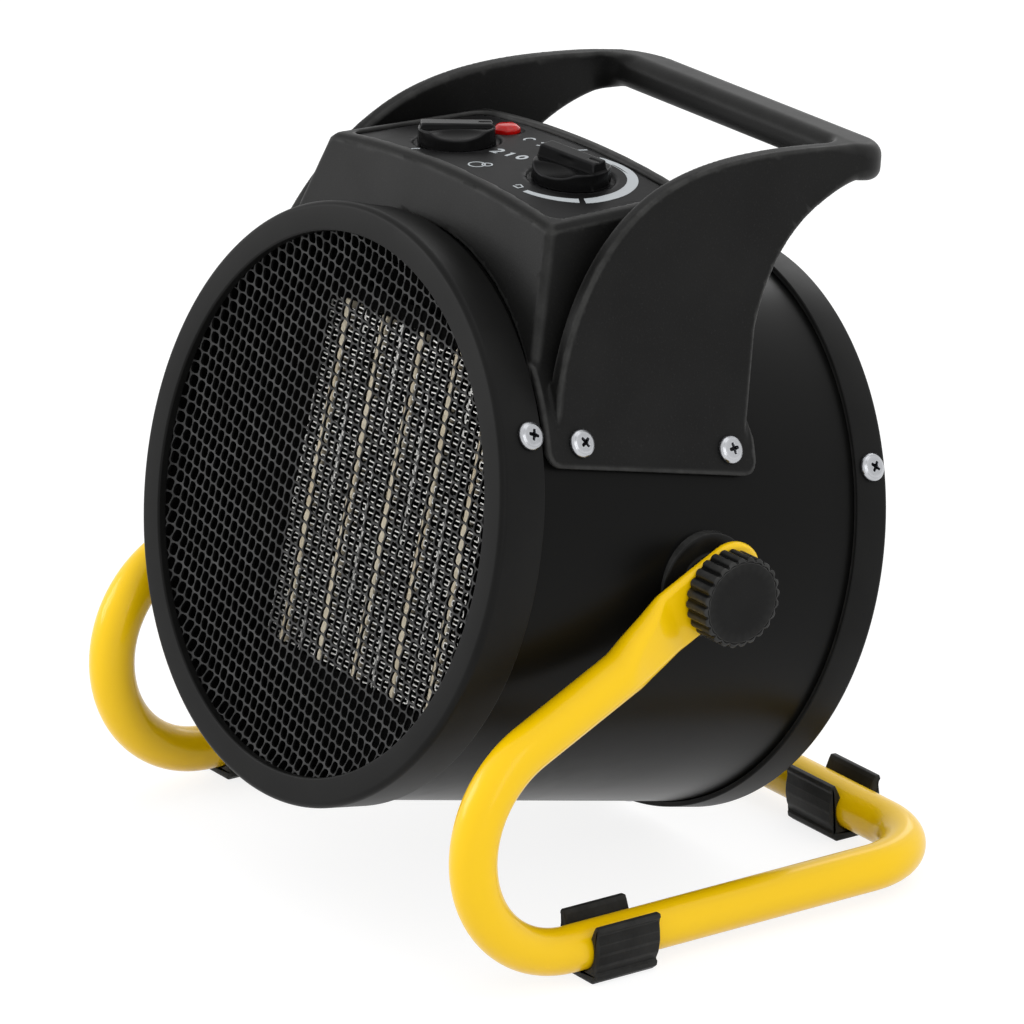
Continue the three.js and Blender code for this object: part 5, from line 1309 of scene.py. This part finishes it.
class HEATER_OT_stage(bpy.types.Operator):
    """Sets up the floor, the soft lights, the pale background and the camera"""
    bl_idname = "heater.stage"
    bl_label = "Stage"

    def execute(self, context):
        scene = context.scene
        scene.view_settings.view_transform = "Standard"
        self.camera(scene)
        self.world(scene)
        self.floor()
        self.lights()
        return {"FINISHED"}

    def camera(self, scene):
        azimuth, rise, roll = (math.radians(v) for v in (53.99, 19.77, 1.01))
        right = Vector((math.cos(azimuth), math.sin(azimuth), 0))
        upward = Vector((-math.sin(azimuth) * math.sin(rise),
                         math.cos(azimuth) * math.sin(rise), math.cos(rise)))
        back = Vector((math.sin(azimuth) * math.cos(rise),
                       -math.cos(azimuth) * math.cos(rise), math.sin(rise)))
        turned_right = math.cos(roll) * right + math.sin(roll) * upward
        turned_up = -math.sin(roll) * right + math.cos(roll) * upward
        aim = Vector(from_drum([0, 0, 0]))
        aside, below, distance, focal_pixels = 0.38, 0.47, 2524.6, 7386.93
        place = aim - aside * turned_right - below * turned_up + distance * back
        data = bpy.data.cameras.new("camera")
        data.sensor_width = 36.0
        data.lens = focal_pixels / 1024 * 36
        data.clip_start, data.clip_end = 0.05, 50
        camera = bpy.data.objects.new("camera", data)
        scene.collection.objects.link(camera)
        camera.matrix_world = Matrix((turned_right, turned_up, back)).transposed().to_4x4()
        camera.location = place * MM
        scene.camera = camera

    def seen(self, tree):
        """1 where a ray comes from the camera, a mirror or glass."""
        path = add_node(tree, "ShaderNodeLightPath")
        plain = result_of(tree, "MAXIMUM", path.outputs["Is Camera Ray"],
                       path.outputs["Is Glossy Ray"])
        return result_of(tree, "MAXIMUM", plain, path.outputs["Is Transmission Ray"])

    def world(self, scene):
        world = bpy.data.worlds.new("studio")
        scene.world = world
        world.use_nodes = True
        tree = world.node_tree
        light = tree.nodes["Background"]
        light.inputs["Color"].default_value = (1.0, 1.0, 1.0, 1)
        light.inputs["Strength"].default_value = 0.98
        shown = add_node(tree, "ShaderNodeBackground", {"Color": (1, 1, 1, 1), "Strength": 1.0})
        mixed = add_node(tree, "ShaderNodeMixShader", {
            0: self.seen(tree), 1: light.outputs[0], 2: shown.outputs[0]})
        tree.links.new(mixed.outputs[0], tree.nodes["World Output"].inputs["Surface"])

    def floor(self):
        half = 6.0
        mesh = bpy.data.meshes.new("floor")
        corners = [(-half, -half, 0), (half, -half, 0), (half, half, 0), (-half, half, 0)]
        mesh.from_pydata(corners, [], [(0, 1, 2, 3)])
        floor = bpy.data.objects.new("floor", mesh)
        bpy.context.scene.collection.objects.link(floor)
        material = bpy.data.materials.new("pale_floor")
        material.use_nodes = True
        tree = material.node_tree
        shader = tree.nodes["Principled BSDF"]
        shader.inputs["Base Color"].default_value = (0.8, 0.8, 0.8, 1)
        shader.inputs["Roughness"].default_value = 0.9
        shader.inputs["Specular IOR Level"].default_value = 0.0
        glow = add_node(tree, "ShaderNodeEmission", {"Color": (1, 1, 1, 1), "Strength": 0.83})
        faint = add_node(tree, "ShaderNodeBsdfDiffuse", {"Color": (0.26, 0.26, 0.26, 1)})
        both = add_node(tree, "ShaderNodeAddShader", {0: faint.outputs[0], 1: glow.outputs[0]})
        mixed = add_node(tree, "ShaderNodeMixShader", {
            0: self.seen(tree), 1: shader.outputs[0], 2: both.outputs[0]})
        tree.links.new(mixed.outputs[0], tree.nodes["Material Output"].inputs["Surface"])
        mesh.materials.append(material)

    def lights(self):
        for name, place, size, power in (
                ("key", (-1.4, -1.4, 0.7), (1.0, 0.8), 11.0),
                ("side", (1.7, -0.5, 0.9), (0.5, 1.4), 3.0),
                ("top", (0.3, 0.4, 1.9), (1.0, 1.0), 2.0),
                ("rim", (-0.9, 1.4, 1.1), (0.4, 1.2), 3.0)):
            data = bpy.data.lights.new(name, "AREA")
            data.shape = "RECTANGLE"
            data.size, data.size_y = size
            data.energy = power
            lamp = bpy.data.objects.new(name, data)
            lamp.location = place
            aim = Vector((0, 0, 0.12)) - Vector(place)
            lamp.rotation_euler = aim.to_track_quat("-Z", "Y").to_euler()
            bpy.context.scene.collection.objects.link(lamp)


class HEATER_OT_finishes(bpy.types.Operator):
    """Makes every finish and gives it to the nodes that stay as they are packed"""
    bl_idname = "heater.finishes"
    bl_label = "Finishes"

    dressed = {
        "inner_paint": ("element_baffle", "element_rail_top", "element_rail_bottom"),
        "ceramic": ("thermal_cutout", "terminal_block"),
        "zinc_steel": ("rotor_shaft", "fan_motor", "motor_bracket", "clamp_nut_right",
                       "clamp_nut_left", "clamp_stud_right", "clamp_stud_left",
                       "thermostat_spindle", "switch_spindle"),
        "fan_plastic": ("thermostat_body", "switch_body"),
    }

    def execute(self, context):
        for name in FINISH_MAKERS:
            finish_of(name)
        for name, nodes in self.dressed.items():
            for node in nodes:
                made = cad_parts[node]
                made.data.materials.clear()
                made.data.materials.append(finish_of(name))
        return {"FINISHED"}


class HEATER_OT_drum(bpy.types.Operator):
    """Turns the drum, the front bezel and the rear ring"""
    bl_idname = "heater.drum"
    bl_label = "Drum and covers"

    def execute(self, context):
        sizes = context.scene.heater_sizes
        paint_name, plastic = "black_drum_paint", "black_moulding"
        for name, node, profile, slot, finish in (
                ("drum_shell", "drum", drum_profile(), paint_name, paint_name),
                ("bezel_cover", "front_bezel", bezel_profile(sizes.bezel_rounding / MM),
                 plastic, "bezel_moulding"),
                ("rear_cover", "rear_ring", ring_profile(), paint_name, "bezel_moulding")):
            points, faces = turned(profile, 256)
            piece(name, points, [faces], "heater", slot, (node,), finish, sharp=50,
                  place=from_drum, edge=self.shaded if node == "drum" else None)
        return {"FINISHED"}

    def shaded(self, points, rounded):
        """Roundness of the drum, -1 in a strip where it goes under the bezel, which paints a
        shadow line there.
        """
        return np.where(np.abs(points[:, 1] - SEAM_Y) < 1.1, -1.0, rounded)


class HEATER_OT_mesh(bpy.types.Operator):
    """Makes the expanded mesh behind the bezel"""
    bl_idname = "heater.front_mesh"
    bl_label = "Front mesh"

    def execute(self, context):
        sizes = context.scene.heater_sizes
        radius = MOUTH_RADIUS + 4
        points, faces = expanded_mesh(sizes.cell_wide / MM, sizes.cell_high / MM,
                                      sizes.cell_drop / MM, sizes.wire / MM, radius)
        # Roundness 0.4 on the wires' front, with the mesh finish's large edge factor, paints a
        # highlight along them.
        piece("expanded_mesh", points, faces, "heater", "mesh_steel", ("front_mesh",), sharp=30,
              edge=lambda p, rounded: np.interp(p[:, 1], MESH_DEPTHS, [0.4, 0.4, 0.0]),
              place=lambda p: from_drum(dished(p, radius, FRONT_Y + 2.9)))
        return {"FINISHED"}


class HEATER_OT_guard(bpy.types.Operator):
    """Makes the rear guard from flat rings and spokes"""
    bl_idname = "heater.rear_guard"
    bl_label = "Rear guard"

    def execute(self, context):
        slot = context.scene.heater_sizes.guard_slot / MM
        low, high = float(GUARD[0][1]), float(GUARD[1][1])
        bar, hub, outer = 3.4, 13.0, DRUM_RADIUS - 12
        rings = int((outer - hub) // (slot + bar))
        pitch = (outer - hub) / rings
        spans = [(0.0, hub)] + [(hub + pitch * k - bar, hub + pitch * k)
                                for k in range(1, rings)] + [(outer, DRUM_RADIUS)]
        shapes = []
        for inner, reach in spans:
            if inner == 0:
                path = rounded_path([(0, low), (reach, low), (reach, high), (0, high)],
                                    [0.4, 0.4], 3)
            else:
                path = rounded_path([
                    ((inner + reach) / 2, low), (reach, low), (reach, high), (inner, high),
                    (inner, low), ((inner + reach) / 2, low)], [0.4] * 4, 3)
            shapes.append(turned(path, 160))
        for k in range(6):
            points, faces = rounded_block((hub - 1, low - 0.12, -3), (outer + 1, high, 3), 0.5)
            shapes.append((about_drum(points, 60 * k), faces[0]))
        points, faces = joined(*shapes)
        piece("guard_plate", from_drum(points), faces, "heater", "black_drum_paint",
              ("rear_guard",))
        return {"FINISHED"}


class HEATER_OT_element(bpy.types.Operator):
    """Makes the ceramic strips and the folded fins between them"""
    bl_idname = "heater.element"
    bl_label = "Heating element"

    def execute(self, context):
        sizes = context.scene.heater_sizes
        for number in range(1, 6):
            node = f"ceramic_strip_{number}"
            points, faces = rounded_block(*drum_box(node), 0.5)
            piece(f"strip_{number}", from_drum(points), faces, "heater", "ceramic", (node,))
        pitch, foil = sizes.fold_pitch / MM, sizes.foil / MM
        for number in range(1, 5):
            node = f"fin_pack_{number}"
            low, high = drum_box(node)
            middle = (low[0] + high[0]) / 2
            plate, faces = rounded_block((middle - 0.4, low[1], low[2]),
                                         (middle + 0.4, high[1], high[2]), 0.2)
            left = folded_foil(low[0], middle - 0.4, pitch, foil, low, high, 10 + number)
            right = folded_foil(middle + 0.4, high[0], pitch, foil, low, high, 20 + number)
            # The middle plate's roundness of -0.62 paints it half in shade.
            self.fins(f"folded_fins_{number}", [(plate, faces[0], np.full(len(plate), -0.62)),
                                                left, right], (node,))
        outer = float(drum_box("ceramic_strip_5")[1][0])
        low, high = drum_box("fin_pack_4")
        rear = np.array([high[0], float(drum_box("element_baffle")[0][1]) - 0.3, high[2]])
        for side, name in ((1, "right"), (-1, "left")):
            reach = sorted((side * outer, side * (outer + 7.6)))
            self.fins(f"folded_fins_{name}", [folded_foil(*reach, pitch, foil, low, rear, 31)])
        return {"FINISHED"}

    def fins(self, name, shapes, replaces=()):
        points, faces = joined(*[shape[:2] for shape in shapes])
        piece(name, from_drum(points), faces, "heater", "aluminium_fins", replaces, sharp=50,
              weld=False, edge=np.concatenate([shape[2] for shape in shapes]))


class HEATER_OT_fan(bpy.types.Operator):
    """Makes the fan with its twisted, rounded blades"""
    bl_idname = "heater.fan"
    bl_label = "Fan"

    def execute(self, context):
        low, high = drum_box("fan_impeller")
        front, rear = float(low[1]), float(low[1]) + 16
        reach = float(high[2])
        hub = rounded_path([(0, front), (16, front), (16, rear), (3.4, rear), (3.4, front + 5),
                            (0, front + 5)], [3.5, 0.8, 0.3, 0.1], 6)
        shapes = [turned(hub, 96)]
        for k in range(5):
            points, faces = self.blade(front + 8, reach)
            shapes.append((about_drum(points, -72 * k), faces))
        points, faces = joined(*shapes)
        piece("fan_blades", from_drum(points), faces, "fan", "fan_plastic", ("fan_impeller",),
              sharp=45)
        return {"FINISHED"}

    def blade(self, middle, reach):
        """A blade: chord and pitch change evenly from root to tip, thickness is an oval."""
        u = np.linspace(0, 1, 22)[:, None]
        t = full_turn(40)[None]
        radius = 14 + (reach - 14) * u
        trim = np.sqrt(np.maximum(1 - np.maximum((u - 0.86) / 0.15, 0) ** 2, 0.04))
        chord = (24 + 22 * u) * (0.85 + 0.15 * trim)
        pitch = np.radians(44 - 24 * u)
        along = 0.5 * chord * np.cos(t)
        thick = 0.75 * np.sin(t) * (1 - 0.35 * u)
        turn = along * np.cos(pitch) / radius
        y = middle + along * np.sin(pitch) + thick * np.cos(pitch)
        turn = turn - thick * np.sin(pitch) / radius
        points = np.stack([radius * np.sin(turn), y + 0 * radius, radius * np.cos(turn)], -1)
        rows, columns = points.shape[:2]
        flat = points.reshape(-1, 3)
        ends = [flat[:columns].mean(0), flat[-columns:].mean(0)]
        first = np.concatenate([flat, np.repeat(ends[:1], columns, 0),
                                np.repeat(ends[1:], columns, 0)])
        tip = net(2, columns, False, True)
        inner = tip + (tip >= columns) * ((rows - 1) * columns)
        outer = np.where(tip < columns, tip + (rows - 1) * columns,
                         tip - columns + (rows + 1) * columns)
        return first, np.concatenate([net(rows, columns, False, True), inner, outer])


class HEATER_OT_housing(bpy.types.Operator):
    """Moulds the handle housing: box, side fins, bar and flanges in one skin"""
    bl_idname = "heater.housing"
    bl_label = "Handle housing"

    def execute(self, context):
        sizes = context.scene.heater_sizes
        pitch = sizes.housing_pitch / MM
        low = np.array([0, *HOUSING[0][1:] - 3 * pitch])
        high = HOUSING[1] + 3 * pitch
        x, y, z = lattice(low, high, pitch)
        half = housing_field(x, y, z, sizes.housing_edge / MM, sizes.housing_valley / MM)
        field = np.concatenate([half[:0:-1], half])
        low[0] = -pitch * (len(half) - 1)
        points, faces, normals, bend = skin_of(field, low, pitch, 0.015)
        # Roundness is raised by half, which strengthens the painted highlight on the housing's
        # edges.
        made = piece("moulded_housing", from_drum(points), faces, "heater", "black_moulding",
                     ("handle_housing",), normals=normals @ TILT_TURN.T, edge=bend * 1.5,
                     weld=False)
        if len(made.data.polygons) < 1000:
            raise RuntimeError("the housing's skin came out empty")
        return {"FINISHED"}


class HEATER_OT_panel(bpy.types.Operator):
    """Makes the control panel with its wells, the lamp and the printed marks"""
    bl_idname = "heater.panel"
    bl_label = "Control panel"

    def execute(self, context):
        self.plate()
        self.lamp()
        self.marks()
        return {"FINISHED"}

    def plate(self):
        pitch = 0.7
        low, high = drum_box("control_panel")
        low, high = low - 3 * pitch, high + 3 * pitch
        x, y, z = lattice(low, high, pitch)
        slope = math.cos(math.atan(PANEL_SLOPE))
        top = (z - box_top(x, y) + PANEL_DROP) * slope
        body = round_meet(box_column(np.abs(x), y, z, 5.0, 5.0), top, 0.8)
        body = np.maximum(body, -(top + PANEL_THICK * slope))
        for at, radius, deep, edge, bore in ((THERMOSTAT, 15, 1.2, 0.5, 3.3),
                                             (SWITCH, 15, 1.2, 0.5, 3.3),
                                             (LAMP, 5.8, 0.7, 0.4, 3.9)):
            origin, *axes = panel_frame(*at)
            a, b, c = ((x - origin[0]) * axis[0] + (y - origin[1]) * axis[1]
                       + (z - origin[2]) * axis[2] for axis in axes)
            r = np.hypot(a, b)
            body = round_meet(body, -np.maximum(r - radius, -deep - c), edge)
            body = np.maximum(body, bore - r)
        points, faces, normals, bend = skin_of(body, low, pitch, 0.02)
        piece("panel_plate", from_drum(points), faces, "heater", "black_moulding",
              ("control_panel",), "panel_moulding", normals=normals @ TILT_TURN.T,
              edge=bend * 1.5, weld=False)

    def lamp(self):
        profile = rounded_path([(0, -14), (3.6, -14), (3.6, -0.5), (4.8, -0.5), (4.8, 0.9),
                                (3.1, 2.3), (0, 2.5)], [0.6, 0.1, 0.2, 0.9, 1.6], 6)
        points, faces = turned(profile, 64)
        piece("lamp_lens", from_drum(on_panel(along_z(points), *LAMP)), [faces], "heater",
              "red_lens", ("pilot_lamp",), sharp=60)

    def marks(self):
        """Scale arcs round the right dial, numbers by the left one, and small plain signs."""
        bend = np.array([-23, 2, 30, 67, 90, 105, 120])
        inner = np.array([20.4, 19.0, 18.6, 18.6, 18.8, 19.4, 20.6])
        outer = np.array([24.4, 23.2, 22.6, 22.2, 21.8, 22.0, 23.0])
        turn = np.linspace(0, 2 * math.pi, 33)[:-1]
        ring = np.stack([np.cos(turn), np.sin(turn)], 1)
        half_turn = np.linspace(0.6, 4.6, 14)
        hook = np.stack([1.3 * np.cos(half_turn), 1.5 * np.sin(half_turn)], 1)
        shapes = [
            ink_patch(arc_band([-78, -28], [21.0, 20.6], [23.2, 24.0]), *THERMOSTAT),
            ink_patch(arc_band(bend, inner, outer), *THERMOSTAT),
            ink_patch(stroke([(-22.0, 17.6), (-20.4, 21.0)], 0.8), *THERMOSTAT),
            ink_patch(stroke([(-1.4, -21.4), (-1.0, -19.6), (1.2, -20.2), (1.4, -22.2),
                              (-1.2, -22.4)], 0.6), *THERMOSTAT),
            ink_patch(stroke([(0.6, -19.2), (1.0, -17.6), (2.2, -16.4)], 0.8), *SWITCH),
            ink_patch(stroke(hook * 1.25, 0.8), -13.6, -14.2),
            ink_patch(stroke(hook * (-1.25, 1.25), 0.8), -6.8, -14.4),
            self.band(ring * 3.0, ring * 2.5, 1.6, -46.2),
            self.band(ring * 1.9, ring * 1.4, 3.6, -43.4),
        ] + self.digits(ring)
        points, faces, start = [], {}, 0
        for shape_points, shape_faces in shapes:
            points.append(shape_points)
            for group in shape_faces:
                faces.setdefault(group.shape[1], []).append(group + start)
            start += len(shape_points)
        piece("dial_marks", from_drum(np.concatenate(points)),
              [np.concatenate(group) for group in faces.values()], "heater",
              "black_moulding", finish="dial_marks", sharp=60)

    def band(self, outer, inner, x, y):
        """A thin flat ring between two outlines with equally many points."""
        rings = np.stack([inner, outer, outer, inner])
        lift = np.array([0.12, 0.12, 0.02, 0.02])[:, None]
        px, py = x + rings[..., 0], y + rings[..., 1]
        points = np.stack([px, py, box_top(px, py) - PANEL_DROP + lift], -1).reshape(-1, 3)
        return points, [net(4, len(outer), True, True)]

    def digits(self, ring):
        """The numbers 2, 1 and 0 on a gentle arc, drawn as pen strokes."""
        bow = np.linspace(2.7, -0.5, 12)
        two = np.concatenate([np.stack([0.9 * np.cos(bow), 0.6 + 0.9 * np.sin(bow)], 1),
                              [(-0.9, -1.5), (1.0, -1.5)]])
        one = np.array([(-0.6, 0.9), (0.05, 1.5), (0.05, -1.5)])
        lean = math.radians(14)
        turn = np.array([[math.cos(lean), math.sin(lean)], [-math.sin(lean), math.cos(lean)]])
        return [
            ink_patch(stroke(two * 1.45 @ turn, 1.1), -7.8, -31.2),
            ink_patch(stroke(one * 1.45 @ turn, 1.2), -2.2, -30.2),
            self.band(ring * (1.9, 2.5) @ turn, ring * (0.8, 1.35) @ turn, 2.8, -28.8),
        ]


class HEATER_OT_dials(bpy.types.Operator):
    """Moulds the two bar-grip dials"""
    bl_idname = "heater.dials"
    bl_label = "Dials"

    def execute(self, context):
        pitch = 0.32
        low, high = np.array([-14.8, -14.8, -1.2]), np.array([14.8, 14.8, 12])
        a, b, c = lattice(low, high, pitch)
        for name, at, angle, top in (("thermostat", THERMOSTAT, 14, 10.2),
                                     ("switch", SWITCH, 56, 7.9)):
            field = dial_field(a, b, c, DIAL_RADIUS, 4.0, top)
            points, faces, normals, bend = skin_of(field, low, pitch, 0.0)
            turn = np.stack(panel_frame(*at)[1:])
            piece(f"{name}_dial", from_drum(on_panel(spun(points - (0, 0, 0.9), angle), *at)),
                  faces, f"{name}_dial", "black_moulding", (f"{name}_knob",), "knob_moulding",
                  normals=spun(normals, angle) @ turn @ TILT_TURN.T, edge=bend * 0.4,
                  weld=False)
        return {"FINISHED"}


class HEATER_OT_clamps(bpy.types.Operator):
    """Makes the fluted clamp knobs and the spacer discs"""
    bl_idname = "heater.clamps"
    bl_label = "Clamps"

    def execute(self, context):
        sizes = context.scene.heater_sizes
        seat = float(KNOB[0][0])
        knob = fluted_knob(float(KNOB[1][2] - KNOB[0][2]) / 2, float(KNOB[1][0]) - seat,
                           sizes.knob_flutes, sizes.flute_depth / MM, seat)
        inner, outer = 94.0, float(SPACER[1][0])
        rim = float(SPACER[1][2] - SPACER[0][2]) / 2
        section = rounded_path([
            (0, inner), (rim, inner), (rim, outer - 4.4), (rim - 1.0, outer - 4.0),
            (11.6, outer - 3.0), (11.0, outer), (0, outer)], [0.3, 0.5, 0.6, 1.2, 0.6], 5)
        spacer = turned(section, 128)
        spacer = (along_x(spacer[0]), spacer[1])
        for side, name in ((1, "right"), (-1, "left")):
            flip = (side, side, 1)
            points = from_drum(knob[0] * flip + (0, PIVOT_SETBACK, PIVOT_RISE))
            piece(f"clamp_grip_{name}", points, [knob[1]], f"clamp_{name}", "black_moulding",
                  (f"clamp_knob_{name}",), "clamp_moulding", sharp=55)
            disc = spacer[0] * flip + (0, PIVOT_SETBACK, PIVOT_RISE)
            radius = np.hypot(disc[:, 0], disc[:, 2])
            push = np.maximum(DRUM_RADIUS + 0.15 - radius, 0)
            disc[:, 0] += side * push * np.abs(disc[:, 0]) / np.maximum(radius, 1)
            piece(f"spacer_disc_{name}", from_drum(disc), [spacer[1]], "heater",
                  "black_moulding", (f"pivot_spacer_{name}",), "clamp_moulding", sharp=35)
        return {"FINISHED"}


class HEATER_OT_screws(bpy.types.Operator):
    """Turns the pan-head screws and seats them on the drum's covers"""
    bl_idname = "heater.screws"
    bl_label = "Screws"

    def execute(self, context):
        points, faces = screw_shape(SCREW_RADIUS, SCREW_HIGH)
        for k, name in enumerate(sorted(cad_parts)):
            if "_screw_" not in name:
                continue
            low, high = drum_box(name)
            middle = (low + high) / 2
            angle = math.degrees(math.atan2(middle[2], middle[0]))
            y = middle[1]
            radius = self.seat(name, angle)

            def place(local, turn=17 + 31 * k):
                return from_drum(on_drum(spun(local, turn), angle, radius, y))

            # The cross recess gets roundness -1, which paints it in shade.
            piece(name.replace("_screw_", "_pan_screw_"), points, [faces], "heater",
                  "zinc_steel", (name,), sharp=60, place=place,
                  edge=lambda p, rounded: np.where(
                      (cross_mask(p[:, 0], p[:, 1]) > 0.5) & (p[:, 2] > 0.3), -1, rounded))
        return {"FINISHED"}

    def seat(self, name, angle):
        """Radius at which a screw's head sits: its highest point less the head."""
        points, t = drum_points(name), math.radians(angle)
        out = points[:, 0] * math.cos(t) + points[:, 2] * math.sin(t)
        return float(out.max()) - SCREW_HIGH - SCREW_SUNK


class HEATER_OT_gland(bpy.types.Operator):
    """Turns the rubber gland in the housing's rear wall"""
    bl_idname = "heater.gland"
    bl_label = "Gland"

    def execute(self, context):
        low, high = drum_box("cord_gland")
        front, rear = float(low[1]), float(high[1])
        seat = BOX_REAR + 0.3
        profile = [(4, rear), (4, front), (7, front), (7, seat), (9.5, seat), (9.5, seat + 2),
                   (7, seat + 2), (6.6, seat + 4), (6.1, seat + 4), (6.1, seat + 5),
                   (6.4, seat + 5), (6.0, rear), (4, rear)]
        section = rounded_path(profile, [0.3, 0.3, 0.2, 0.6, 0.6, 0.3, 0.2, 0.2, 0.2, 0.2, 0.8],
                               4)
        points, faces = turned(section, 96)
        place = points + (0, 0, float(low[2] + high[2]) / 2)
        piece("gland", from_drum(place), [faces], "heater", "rubber", ("cord_gland",), sharp=50)
        return {"FINISHED"}


class HEATER_OT_stand(bpy.types.Operator):
    """Bends the stand's tube, flattened at both pivots"""
    bl_idname = "heater.stand"
    bl_label = "Stand tube"

    def execute(self, context):
        sizes = context.scene.heater_sizes
        points, faces = tube_skin(sizes.tab_long / MM, sizes.press_long / MM)
        piece("bent_tube", from_stand(points), faces, "stand", "yellow_paint", ("stand_tube",),
              sharp=60)
        return {"FINISHED"}


class HEATER_OT_feet(bpy.types.Operator):
    """Presses the rubber clips of the feet, with rounded ends"""
    bl_idname = "heater.feet"
    bl_label = "Feet"

    def execute(self, context):
        outline = foot_outline(context.scene.heater_sizes.foot_lip / MM)
        half = 13.0
        lifts = np.array([-half, -half + 0.25, -half + 0.8, half - 0.8, half - 0.25, half])
        shrink = np.array([0.8, 0.25, 0, 0, 0.25, 0.8])
        for name in ("front_foot_right", "front_foot_left", "rear_foot_right", "rear_foot_left"):
            low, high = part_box(name)
            middle = np.array((low + high) / 2) / MM

            def place(a, b, lift, rear=name.startswith("rear")):
                run = [lift, a] if rear else [a, lift]
                return np.stack([middle[0] + run[0], middle[1] + run[1], TUBE_HEIGHT + b], -1)

            points, faces = lofted(outline, lifts, shrink, place)
            piece(name.replace("_foot_", "_clip_"), points, faces, "stand", "rubber", (name,),
                  sharp=50)
        return {"FINISHED"}


class HEATER_PT_pieces(bpy.types.Panel):
    """Lists the heater's pieces in the sidebar"""
    bl_label = "Workshop heater"
    bl_idname = "HEATER_PT_pieces"
    bl_space_type = "VIEW_3D"
    bl_region_type = "UI"
    bl_category = "Heater"

    def draw(self, context):
        column = self.layout.column(align=True)
        for operator in OPERATORS:
            column.operator(operator.bl_idname)
        for group in (context.scene.heater_sizes, context.scene.heater_colours):
            box = self.layout.box()
            for key in group.bl_rna.properties.keys():
                if key not in ("rna_type", "name"):
                    box.prop(group, key)


OPERATORS = (
    HEATER_OT_stage, HEATER_OT_finishes, HEATER_OT_drum, HEATER_OT_mesh, HEATER_OT_guard,
    HEATER_OT_element, HEATER_OT_fan, HEATER_OT_housing, HEATER_OT_panel, HEATER_OT_dials,
    HEATER_OT_clamps, HEATER_OT_screws, HEATER_OT_gland, HEATER_OT_stand, HEATER_OT_feet)
CLASSES = (HeaterSizes, HeaterColours, *OPERATORS, HEATER_PT_pieces)


def register():
    for item in CLASSES:
        bpy.utils.register_class(item)
    bpy.types.Scene.heater_sizes = PointerProperty(type=HeaterSizes)
    bpy.types.Scene.heater_colours = PointerProperty(type=HeaterColours)


def unregister():
    del bpy.types.Scene.heater_colours
    del bpy.types.Scene.heater_sizes
    for item in reversed(CLASSES):
        bpy.utils.unregister_class(item)


def main():
    """Builds the whole heater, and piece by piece."""
    register()
    for operator in OPERATORS:
        group, name = operator.bl_idname.split(".")
        getattr(getattr(bpy.ops, group), name)()


if __name__ == "__main__":
    main()
